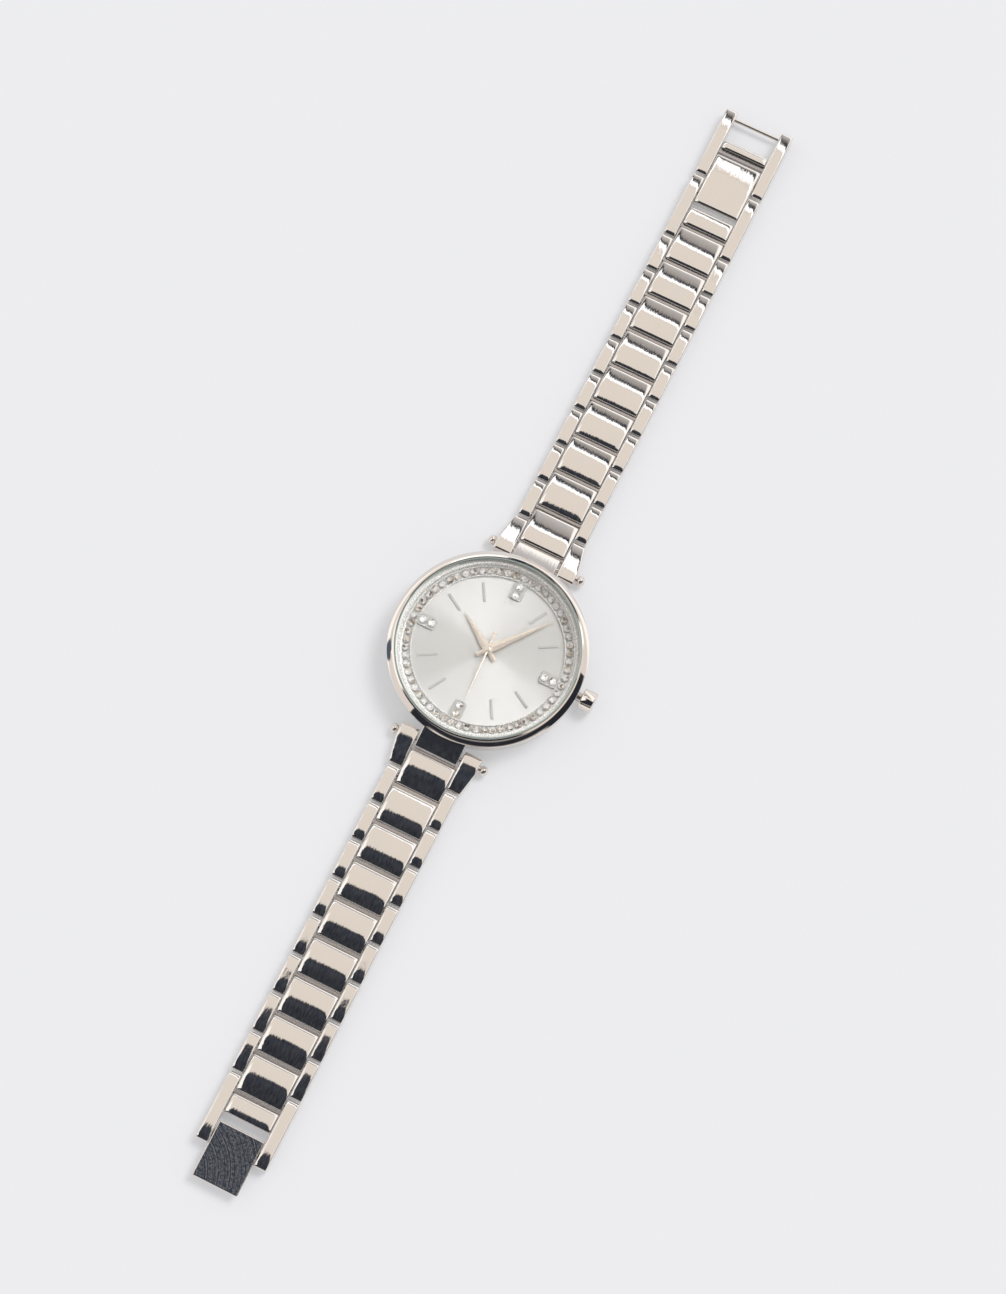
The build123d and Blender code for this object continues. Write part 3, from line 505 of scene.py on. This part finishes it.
def mirrored(part):  # left for right
    bmesh.ops.scale(part, vec=(-1, 1, 1), verts=part.verts)
    return outwards(part)


def prism(points, xLow, xHigh):  # a side profile of (y, z) corners, extruded along X
    part = bmesh.new()
    face = part.faces.new([part.verts.new((xLow, y, z)) for y, z in points])
    grown = bmesh.ops.extrude_face_region(part, geom=[face])["geom"]
    bmesh.ops.translate(part, vec=(xHigh - xLow, 0, 0), verts=[g for g in grown if isinstance(g, bmesh.types.BMVert)])
    return outwards(part)


def turned(points, steps, closed=True):  # (radius, height) corners spun about Z
    part = bmesh.new()
    verts = [part.verts.new((r, 0, z)) for r, z in points]
    pairs = list(zip(verts, verts[1:])) + ([(verts[-1], verts[0])] if closed else [])
    edges = [part.edges.new(pair) for pair in pairs]
    bmesh.ops.spin(part, geom=verts + edges, cent=(0, 0, 0), axis=(0, 0, 1), angle=2 * pi, steps=steps,
                   use_merge=True)
    bmesh.ops.remove_doubles(part, verts=part.verts, dist=0.0005)
    return outwards(part)


def alongX(part, y=0.0, z=0.0):  # lays a part turned about Z along X, through (y, z)
    laid = Matrix.Translation((0, y, z)) @ Matrix.Rotation(pi / 2, 4, "Y")
    bmesh.ops.transform(part, matrix=laid, verts=part.verts)
    return part


def rod(y, z, radius, xLow, xHigh, edge=0.05, steps=32):  # a round bar along X with broken ends
    half = (xHigh - xLow) / 2
    part = turned([(0, -half), (radius - edge, -half), (radius, edge - half), (radius, half - edge),
                   (radius - edge, half), (0, half)], steps, False)
    return alongX(moved(part, z=(xHigh + xLow) / 2), y, z)


def block(lows, highs, edge, segments=2):
    part = bmesh.new()
    made = bmesh.ops.create_cube(part, size=1.0)["verts"]
    bmesh.ops.scale(part, vec=[b - a for a, b in zip(lows, highs)], verts=made)
    bmesh.ops.translate(part, vec=[(a + b) / 2 for a, b in zip(lows, highs)], verts=made)
    if edge:
        roundEdges(part, edge, segments)
    return part


def painted(part, index):  # all its faces in one of the piece's finishes
    for face in part.faces:
        face.material_index = index
    return part


def joined(*parts):
    whole = bmesh.new()
    for part in parts:
        scratch = bpy.data.meshes.new("scratch")
        part.to_mesh(scratch)
        whole.from_mesh(scratch)
        bpy.data.meshes.remove(scratch)
        part.free()
    return whole


def turnedBy(part, degrees):  # turned about the watch's centre line
    bmesh.ops.rotate(part, cent=(0, 0, 0), matrix=Matrix.Rotation(radians(degrees), 3, "Z"), verts=part.verts)
    return part


# the finished piece, in metres, in the CAD's frame: most stand for the one node of their body
def place(part, name, body, nodes=None, used=("steel", "satin"), slot="polished_steel", sharp=50):
    nodes = nodes or [body]
    bmesh.ops.scale(part, vec=(mm, mm, mm), verts=part.verts)
    part.normal_update()
    for face in part.faces:
        face.smooth = True
    for edge in part.edges:
        edge.smooth = len(edge.link_faces) == 2 and edge.calc_face_angle(0) < radians(sharp)
    mesh = bpy.data.meshes.new(name)
    part.to_mesh(mesh)
    part.free()
    for key in used:
        mesh.materials.append(finishes[key])
    piece = bpy.data.objects.new(name, mesh)
    bpy.context.scene.collection.objects.link(piece)
    weighted = piece.modifiers.new("weightedNormal", "WEIGHTED_NORMAL")
    weighted.keep_sharp = True
    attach(piece, body)
    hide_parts(*nodes)
    return piece


# Bracelet links: cushion-shaped bars, crowned along the chain and rolled off at their long edges
linkShape = {
    "first": 27.5, "height": 2.5, "length": 6.2, "gap": 0.95, "stagger": 2.85,
    "centreHalf": 4.15, "sideInner": 4.27, "sideOuter": 6.42,
    "heel": 0.75, "heelShare": 0.25, "corner": 0.14, "edge": 0.07,
    "sideExtra": 0.3, "centreExtra": 0.15,   # longer at each end, to close the gaps that show
    "sideChamfer": 0.11, "sideSlope": 1.0, "endChamfer": 0.14, "endSlope": 0.82,
    "centreCrown": (0.2, 2), "sideCrown": (0.17, 4), "spread": 0.03,      # drop at the ends, its power; drop across
    "centreRoll": (0.85, 0.065), "innerRoll": (0.5, 0.03), "outerRoll": (0.45, 0.022),   # width and drop
    "endRoll": (0.4, 0.06), "rollPower": 2.5,
    "hingeBack": 1.15, "hingeHeight": 1.25, "pinRadius": 0.4, "pinReach": 5.67,
    "bridgeHeights": (0.75, 1.75), "bridgeReach": 5.345, "bridgeGap": 0.25, "bridgeEdge": 0.06,
    "cutsAlong": 16, "cutsInRoll": 4, "cutsEachSide": 4, "cutStep": 0.7,   # edge loops that let the top bend
    "cutsInEnd": (0.25, 0.5, 0.75),   # shares of the end's roll
    "topsFrom": 1.9,   # what lies higher is top
}


def cutAt(part, x=None, y=None):  # an edge loop where the top is to bend
    bmesh.ops.bisect_plane(part, geom=part.verts[:] + part.edges[:] + part.faces[:], dist=0.0001,
                           plane_co=(x or 0, y or 0, 0), plane_no=(1, 0, 0) if y is None else (0, 1, 0))


def cushionBar(yLow, yHigh, xLow, xHigh, lowRoll, highRoll, crown):
    s = linkShape
    part = block((xLow, yLow, 0), (xHigh, yHigh, s["height"]), 0)
    length, middle, wide = yHigh - yLow, (yLow + yHigh) / 2, xLow < 0 < xHigh
    feet = [e for e in part.edges if all(v.co.z < 0.01 for v in e.verts)
            and abs(e.verts[0].co.y - e.verts[1].co.y) < 0.01]
    bmesh.ops.bevel(part, geom=feet, offset=min(s["heel"], length * s["heelShare"]), offset_type="OFFSET",
                    segments=1, profile=0.5, affect="EDGES", material=-1)
    roundEdges(part, s["corner"], 2, 60, lambda e: upright(e, 1))
    sideCut, endCut, power = s["sideChamfer"], s["endChamfer"], s["rollPower"]
    endWidth, endDepth = s["endRoll"]
    for k in range(s["cutsInRoll"] + 1):
        cutAt(part, x=xLow + sideCut + lowRoll[0] * k / s["cutsInRoll"])
        cutAt(part, x=xHigh - sideCut - highRoll[0] * k / s["cutsInRoll"])
    if wide:
        for k in range(-s["cutsEachSide"], s["cutsEachSide"] + 1):
            cutAt(part, x=k * s["cutStep"])
    for k in range(s["cutsAlong"] + 1):
        cutAt(part, y=yLow + endCut + (length - 2 * endCut) * k / s["cutsAlong"])
    for share in s["cutsInEnd"]:
        cutAt(part, y=yLow + endCut + endWidth * share)
        cutAt(part, y=yHigh - endCut - endWidth * share)
    rise = crown[0] * min(1, length / s["length"]) ** 2
    for vert in part.verts:
        if vert.co.z > s["height"] - 0.001:
            fromLow, fromHigh = vert.co.x - xLow, xHigh - vert.co.x
            fromEnd = length / 2 - abs(vert.co.y - middle)
            drop = rise * abs((vert.co.y - middle) / (length / 2)) ** crown[1]
            if wide:
                drop += s["spread"] * (vert.co.x / xHigh) ** 2
            for inset, (width, depth) in ((fromLow, lowRoll), (fromHigh, highRoll)):
                drop += depth * max(0, 1 - max(0, inset - sideCut) / width) ** power
            drop += endDepth * max(0, 1 - max(0, fromEnd - endCut) / endWidth) ** power
            drop += max((sideCut - min(fromLow, fromHigh)) * s["sideSlope"], (endCut - fromEnd) * s["endSlope"], 0)
            vert.co.z -= drop
    roundEdges(part, s["edge"], 2, 24)
    return part


def centreBar(yLow, yHigh, crown=None):
    s = linkShape
    return cushionBar(yLow, yHigh, -s["centreHalf"], s["centreHalf"], s["centreRoll"], s["centreRoll"],
                      crown or s["centreCrown"])


def sideBars(yLow, yHigh, outer=None):
    s = linkShape
    right = cushionBar(yLow, yHigh, s["sideInner"], outer or s["sideOuter"], s["innerRoll"], s["outerRoll"],
                       s["sideCrown"])
    return right, mirrored(right.copy())


def bridgeBar(yLow, yHigh):
    reach, (low, high) = linkShape["bridgeReach"], linkShape["bridgeHeights"]
    # the bridge is in satin steel, whose darker colour is painted shade in the recess between the bars
    return painted(block((-reach, yLow, low), (reach, yHigh, high), linkShape["bridgeEdge"]), 1)


def hingePin(y):
    s = linkShape
    return painted(rod(y, s["hingeHeight"], s["pinRadius"], -s["pinReach"], s["pinReach"]), 1)


def wholeLink(centreStart, centreLength, sideLength):
    s = linkShape
    sideStart = centreStart - s["stagger"] - s["sideExtra"]
    return joined(*sideBars(sideStart, sideStart + sideLength + 2 * s["sideExtra"]),
                  centreBar(centreStart - s["centreExtra"], centreStart + centreLength + s["centreExtra"]),
                  bridgeBar(centreStart - s["gap"] + s["bridgeGap"], centreStart),
                  hingePin(centreStart - s["gap"] - s["hingeBack"]))


def addLinks():
    s = linkShape
    pattern = wholeLink(s["first"], s["length"], s["length"])
    for number in range(1, 9):
        upper = moved(pattern.copy(), y=(s["length"] + s["gap"]) * (number - 1))
        lower = turnedBy(upper.copy(), 180)
        place(upper, f"upperLink{number}", f"upper_link_{number}")
        place(lower, f"lowerLink{number}", f"lower_link_{number}")
    pattern.free()


addLinks()
print("links placed")

# End links with their knobbed bars
endShape = {
    "bridge": (19.85, 20.35), "centre": (20.35, 26.7), "sides": (16.9, 24.0), "wide": 7.52, "narrow": 6.62,
    "taperFrom": 19.4, "fallFrom": 19.5, "fall": 0.065,   # the tops fall away from the case by this slope
    "lugAxis": (18.4, 1.3), "barRadius": 0.4,
    "knob": [(0.45, 0.0), (0.68, 0.0), (0.68, 0.14), (0.55, 0.2), (0.74, 0.31), (0.87, 0.5), (0.92, 0.75),
             (0.89, 1.0), (0.77, 1.23), (0.57, 1.4), (0.3, 1.51), (0, 1.54)],   # radius, distance out
}


def addEndLinks():
    s = endShape
    low, high = s["sides"]
    sides = sideBars(low, high, s["wide"])
    inner = linkShape["sideInner"]
    for part in sides:
        for vert in part.verts:  # the flare: full width at the lug, narrowing along the chain
            share = min(1, max(0, (vert.co.y - s["taperFrom"]) / (high - s["taperFrom"])))
            factor = 1 + share * ((s["narrow"] - inner) / (s["wide"] - inner) - 1)
            vert.co.x = (inner + (abs(vert.co.x) - inner) * factor) * (1 if vert.co.x > 0 else -1)
    tops = joined(*sides, centreBar(*s["centre"]))
    for vert in tops.verts:
        if vert.co.z > linkShape["topsFrom"]:
            vert.co.z += s["fall"] * (s["fallFrom"] - vert.co.y)
    pattern = joined(tops, bridgeBar(*s["bridge"]))
    y, z = s["lugAxis"]
    knob = moved(alongX(turned(s["knob"], 32, False)), s["wide"], y, z)
    bar = joined(rod(y, z, s["barRadius"], -s["wide"], s["wide"]), knob, mirrored(knob.copy()))
    for half, degrees in (("upper", 0), ("lower", 180)):
        place(turnedBy(pattern.copy(), degrees), f"{half}EndLink", f"{half}_end_link")
        place(turnedBy(bar.copy(), degrees), f"{half}LugBar", f"{half}_end_link", [f"{half}_lug_bar"], ("mirror",),
              sharp=80)


addEndLinks()
print("end links placed")

# Long frames, the plate link and the clasp
tailShape = {
    "lastStart": 84.7, "longFrame": 11.6, "longCentre": 3.1, "plate": (89.1, 98.95),
    "catchRails": (94.4, 107.5), "catchBridge": (99.5, 100.25), "catchCentre": (100.25, 101.85),
    "claspFrame": 11.5, "claspCentre": 3.1,
    "plateCrown": (0.11, 2), "lean": 0.034, "claspLean": 0.045,   # the frames' tops rise outwards by these slopes
}
claspShape = {
    "ends": (89.5, 99.35), "half": 4.15, "low": 1.8, "high": 2.5, "corner": 0.28, "edge": 0.24,
    "pivot": (91.8, 1.25), "knuckle": 0.85, "web": 0.9, "webTop": 1.85, "hookHalf": 1.7, "hookEdge": 0.08,
    "hook": [(95.24, 1.85), (95.24, 0.81), (94.5, 0.81), (94.5, 0.41), (95.24, 0.41), (95.64, 0.81), (95.64, 1.85)],
}


def leaned(part, slope):  # the tops tilted about the middle of the part
    middle = (min(v.co.y for v in part.verts) + max(v.co.y for v in part.verts)) / 2
    for vert in part.verts:
        if vert.co.z > linkShape["topsFrom"]:
            vert.co.z += slope * (vert.co.y - middle)
    return part


def addTails():
    s = tailShape
    long = wholeLink(s["lastStart"], s["longCentre"], s["longFrame"])
    place(leaned(long, s["lean"]), "longFrame", "long_frame")
    plate = centreBar(*s["plate"], s["plateCrown"])
    place(leaned(plate, s["lean"]), "plateLink", "plate_link", used=("steel",))
    catch = joined(*sideBars(*s["catchRails"]), centreBar(*s["catchCentre"]), bridgeBar(*s["catchBridge"]))
    place(leaned(catch, s["lean"]), "catchFrame", "catch_frame")
    clasp = wholeLink(s["lastStart"], s["claspCentre"], s["claspFrame"])
    place(turnedBy(leaned(clasp, s["claspLean"]), 180), "claspFrame", "clasp_frame")


def addClaspPlate():
    s = claspShape
    (start, end), half = s["ends"], s["half"]
    part = block((-half, start, s["low"]), (half, end, s["high"]), 0)
    roundEdges(part, s["corner"], 8, 30, upright)
    roundEdges(part, s["edge"], 3, 40)
    part.normal_update()
    for face in part.faces:  # only the flats are wheel-polished
        face.material_index = 2 if abs(face.normal.z) < 0.98 else 0
    y, z = s["pivot"]
    knuckle = rod(y, z, s["knuckle"], -half, half)
    web = block((-half, y - s["web"] / 2, z), (half, y + s["web"] / 2, s["webTop"]), 0)
    hook = prism(s["hook"], -s["hookHalf"], s["hookHalf"])
    roundEdges(hook, s["hookEdge"], 2, 40)
    below = painted(joined(knuckle, web, hook), 1)
    place(turnedBy(joined(part, below), 180), "claspPlate", "clasp_plate", used=("swirl", "satin", "mirror"))


addTails()
addClaspPlate()
print("frames, plate link and clasp placed")

# Case body with its two lugs, the bezel and the crystal
caseShape = {
    "ring": [(14.8, 0.5), (16.2, 0.5), (16.6, 0.9), (16.6, 3.9), (15.1, 3.9), (15.1, 3.1), (14.0, 3.1), (14.0, 1.13),
             (14.8, 1.13)],
    "ringEdge": 0.1, "lugHalf": 3.9, "lugAxis": (18.4, 1.3), "lugNose": 1.0, "lugEdge": 0.22,
    "lugTop": [(15.5, 3.4), (16.3, 3.36), (17.2, 3.27), (18.2, 3.1), (19.1, 2.88), (19.65, 2.72), (19.9, 2.5),
               (19.82, 2.22), (19.55, 2.1)],
    "lugFoot": (15.5, 0.5),
}
bezelShape = {
    "outer": [(15.2, 3.9), (16.62, 3.9), (16.84, 4.5), (16.98, 5.2), (17.02, 5.38), (17.0, 5.46), (16.96, 5.5),
              (16.55, 5.85), (16.14, 6.2), (16.1, 6.225), (15.84, 6.25), (15.79, 6.23), (15.78, 6.18), (15.78, 4.82),
              (15.2, 4.82)],
    "step": 4.83,   # faces up to here are the pale step under the crystal
}
crystalShape = {"radius": 15.72, "low": 4.9, "high": 6.35, "edge": 0.22}   # a flat disc, its edge ground


def addCase():
    s = caseShape
    ring = turned(s["ring"], 192)
    roundEdges(ring, s["ringEdge"], 3, 25)
    y, z = s["lugAxis"]
    nose = [(y + s["lugNose"] * sin(radians(a)), z + s["lugNose"] * cos(radians(a))) for a in range(45, 181, 15)]
    lug = prism(s["lugTop"] + nose + [s["lugFoot"]], -s["lugHalf"], s["lugHalf"])
    roundEdges(lug, s["lugEdge"], 4, 60)
    place(joined(ring, lug, turnedBy(lug.copy(), 180)), "caseBody", "case", ["case_middle"], ("steel",))
    bezel = turned(bezelShape["outer"], 256)
    for face in bezel.faces:
        face.material_index = 1 if face.calc_center_median().z < bezelShape["step"] and face.normal.z > 0.9 else 0
    place(bezel, "bezelRing", "case", ["bezel"], ("mirror", "flange"), sharp=20)


def addCrystal():
    s = crystalShape
    radius, high, edge = s["radius"], s["high"], s["edge"]
    part = turned([(0, s["low"]), (radius, s["low"]), (radius, high - edge), (radius - edge, high), (0, high)], 192,
                  False)
    part.normal_update()
    for face in part.faces:
        face.material_index = 1 if abs(face.normal.z) < 0.9 else 0
    place(part, "crystalDisc", "case", ["crystal"], ("glass", "glassEdge"), "crystal_glass", 30)


addCase()
addCrystal()
print("case, bezel and crystal placed")

# Ring that carries the stones, the stones, index plates and batons
dialShape = {
    "ring": [(12.98, 3.5), (15.0, 3.5), (15.0, 4.7), (15.18, 4.83), (15.18, 4.89), (14.88, 4.89), (14.63, 3.95),
             (14.5, 3.95), (14.46, 3.62), (13.14, 3.62), (13.1, 3.95), (12.98, 3.95)],
    "stones": 60, "stoneCircle": 13.805, "stoneHeight": 3.97, "stoneRadius": 0.6, "stoneDepth": 0.34,
    "stoneTwist": 11,   # each stone is turned a little further, so that they glint apart
    "girdle": 0.02, "table": (0.55, 0.16),   # half the girdle's height; the table's share of the radius, its height
    "foilFrom": -0.03,   # faces below this have the foil
    "rim": [(0.6, -0.2), (0.7, -0.2), (0.7, 0.03), (0.66, 0.07), (0.61, 0.03)],
    "dialTop": 3.5, "plateSize": (2.25, 3.15, 0.3), "plateMiddle": 11.395, "plateCorner": 0.45, "plateEdge": 0.07,
    "plateStone": (0.66, 0.12), "plateStoneStep": 0.79, "plateStoneLift": 0.13,
    "collar": [(0.64, 0.0), (0.79, 0.0), (0.81, 0.09), (0.78, 0.16), (0.69, 0.16), (0.64, 0.09)],
    "batonSize": (0.5, 3.4, 0.15), "batonMiddle": 10.18, "batonEdge": 0.05,
}


def gem(radius, deep, sides=8):  # table, crown facets, girdle and foiled pavilion, girdle at height 0
    girdle, (share, top) = dialShape["girdle"], dialShape["table"]
    part = turned([(0, -deep), (radius, -girdle), (radius, girdle), (radius * share, top), (0, top)], sides, False)
    for face in part.faces:
        face.material_index = 1 if face.calc_center_median().z < dialShape["foilFrom"] else 0
    return part


def dialBar(size, middle, edge=0.0):  # a flat bar on the dial, at 12 o'clock
    (width, length, thick), low = size, dialShape["dialTop"]
    return block((-width / 2, middle - length / 2, low), (width / 2, middle + length / 2, low + thick), edge)


def addDialWork():
    s = dialShape
    ring, stones, rims = turned(s["ring"], 192), [], []
    seat = (0, s["stoneCircle"], s["stoneHeight"])
    for number in range(s["stones"]):
        degrees = number * 360 / s["stones"]
        stone = turnedBy(gem(s["stoneRadius"], s["stoneDepth"]), s["stoneTwist"] * number)
        stones.append(turnedBy(moved(stone, *seat), degrees))
        rims.append(turnedBy(moved(turned(s["rim"], 20), *seat), degrees))
    place(joined(ring, painted(joined(*rims), 1)), "stoneRing", "case", ["stone_ring"], ("ring", "marker"),
          "ring_silver", 30)
    place(joined(*stones), "ringStones", "case", ["ring_stones"], ("stone", "foil"), "stone_glass", 5)
    plates, pairs = [], []
    top = s["dialTop"] + s["plateSize"][2]
    for quarter in range(4):
        plate = dialBar(s["plateSize"], s["plateMiddle"])
        roundEdges(plate, s["plateCorner"], 5, 30, upright)
        roundEdges(plate, s["plateEdge"], 3, 40)
        plates.append(turnedBy(plate, quarter * 90))
        for y in (s["plateMiddle"] - s["plateStoneStep"], s["plateMiddle"] + s["plateStoneStep"]):
            pairs.append(turnedBy(moved(gem(*s["plateStone"]), 0, y, top + s["plateStoneLift"]), quarter * 90))
            plates.append(turnedBy(moved(turned(s["collar"], 32), 0, y, top), quarter * 90))
    place(joined(*plates), "indexPlates", "case", ["index_plates"], ("marker",), "hand_steel")
    place(joined(*pairs), "indexStones", "case", ["index_stones"], ("stone", "foil"), "stone_glass", 5)
    batons = [turnedBy(dialBar(s["batonSize"], s["batonMiddle"], s["batonEdge"]), hour * 30)
              for hour in range(12) if hour % 3]
    place(joined(*batons), "hourBatons", "case", ["hour_markers"], ("marker",), "hand_steel")


# Hands: two facets that meet in a ridge, so one half is always lighter
handShapes = {
    "hour": {"low": 3.9, "length": 7.7, "width": 1.6, "tail": 2.2, "tailWidth": 0.75, "boss": 0.8, "angle": 303.3,
             "rim": 0.08},
    "minute": {"low": 4.22, "length": 12.1, "width": 1.5, "tail": 2.1, "tailWidth": 0.7, "boss": 0.8, "angle": 40.0,
               "rim": 0.08},
    "second": {"low": 4.54, "length": 9.7, "width": 0.34, "tail": 3.1, "tailWidth": 0.65, "boss": 0.55,
               "angle": 177.0, "rim": 0.1},
}
handRidge, handTip = 0.12, 0.03
handWaist = (0.33, 0.5)   # share of the tail's length, and of the half width
# the boss's outline: share of its radius, what is added to that, height
bossShape = [(1, 0, 0), (1, 0, 0.07), (1, -0.06, 0.13), (0.5, 0, 0.16), (0.45, 0, 0.2)]


def addHand(name):
    s = handShapes[name]
    half, low = s["width"] / 2, s["low"]
    rows = [(s["length"], handTip), (half, half), (-s["tail"] * handWaist[0], half * handWaist[1]),
            (-s["tail"], s["tailWidth"] / 2)]
    part = bmesh.new()
    lines = []
    for x, z in ((-1, s["rim"]), (0, handRidge), (1, s["rim"])):
        lines.append([part.verts.new((x * wide, y, low + z)) for y, wide in rows])
    for left, right in zip(lines, lines[1:]):
        for k in range(len(rows) - 1):
            part.faces.new((left[k], left[k + 1], right[k + 1], right[k]))
    grown = bmesh.ops.extrude_face_region(outwards(part), geom=part.faces[:])["geom"]
    for vert in [g for g in grown if isinstance(g, bmesh.types.BMVert)]:
        vert.co.z = low
    outwards(part)
    outline = [(s["boss"] * share + more, low + z) for share, more, z in bossShape]
    boss = turned([(0, low)] + outline + [(0, outline[-1][1])], 32, False)
    place(turnedBy(joined(part, boss), -s["angle"]), f"{name}Hand", f"{name}_hand", None, ("hand",), "hand_steel", 4)


addDialWork()
for handName in handShapes:
    addHand(handName)
print("dial work and hands placed")

# Crown
crownShape = {
    "profile": [(0.85, 0.0), (1.7, 0.0), (1.82, 0.05), (1.87, 0.16), (1.87, 2.16), (1.83, 2.28), (1.7, 2.35),
                (1.0, 2.38), (0, 2.38)],   # radius, distance out
    "start": 17.55, "height": 2.25,
}


def addCrown():
    s = crownShape
    part = moved(alongX(turned(s["profile"], 96, False), 0, s["height"]), s["start"])
    place(part, "crownCap", "crown", used=("mirror",), sharp=60)


addCrown()
print("crown placed")

# CAD nodes that keep their own shape get their finish here
nodeFinishes = {
    "dial": "dial", "crystal_gasket": "nylon", "case_back": "back", "case_back_gasket": "rubber",
    "crown_tube": "satin", "crown_gasket": "rubber", "stem": "pin", "setting_lever": "pin",
    "plate_link_pins": "pin", "catch_bar": "mirror", "clasp_pivot_pin": "pin",
    "hour_wheel": "brass", "cannon_pinion": "brass", "seconds_wheel": "brass", "train_bridge": "plate",
    "movement_plate": "plate", "movement_holder": "spacer", "battery": "cell", "coil": "copper", "coil_core": "iron",
    "circuit_board": "board", "quartz_can": "cell",
}
for nodeName, key in nodeFinishes.items():
    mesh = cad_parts[nodeName].data
    mesh.materials.clear()
    mesh.materials.append(finishes[key])
print("carried CAD nodes finished:", len(nodeFinishes))
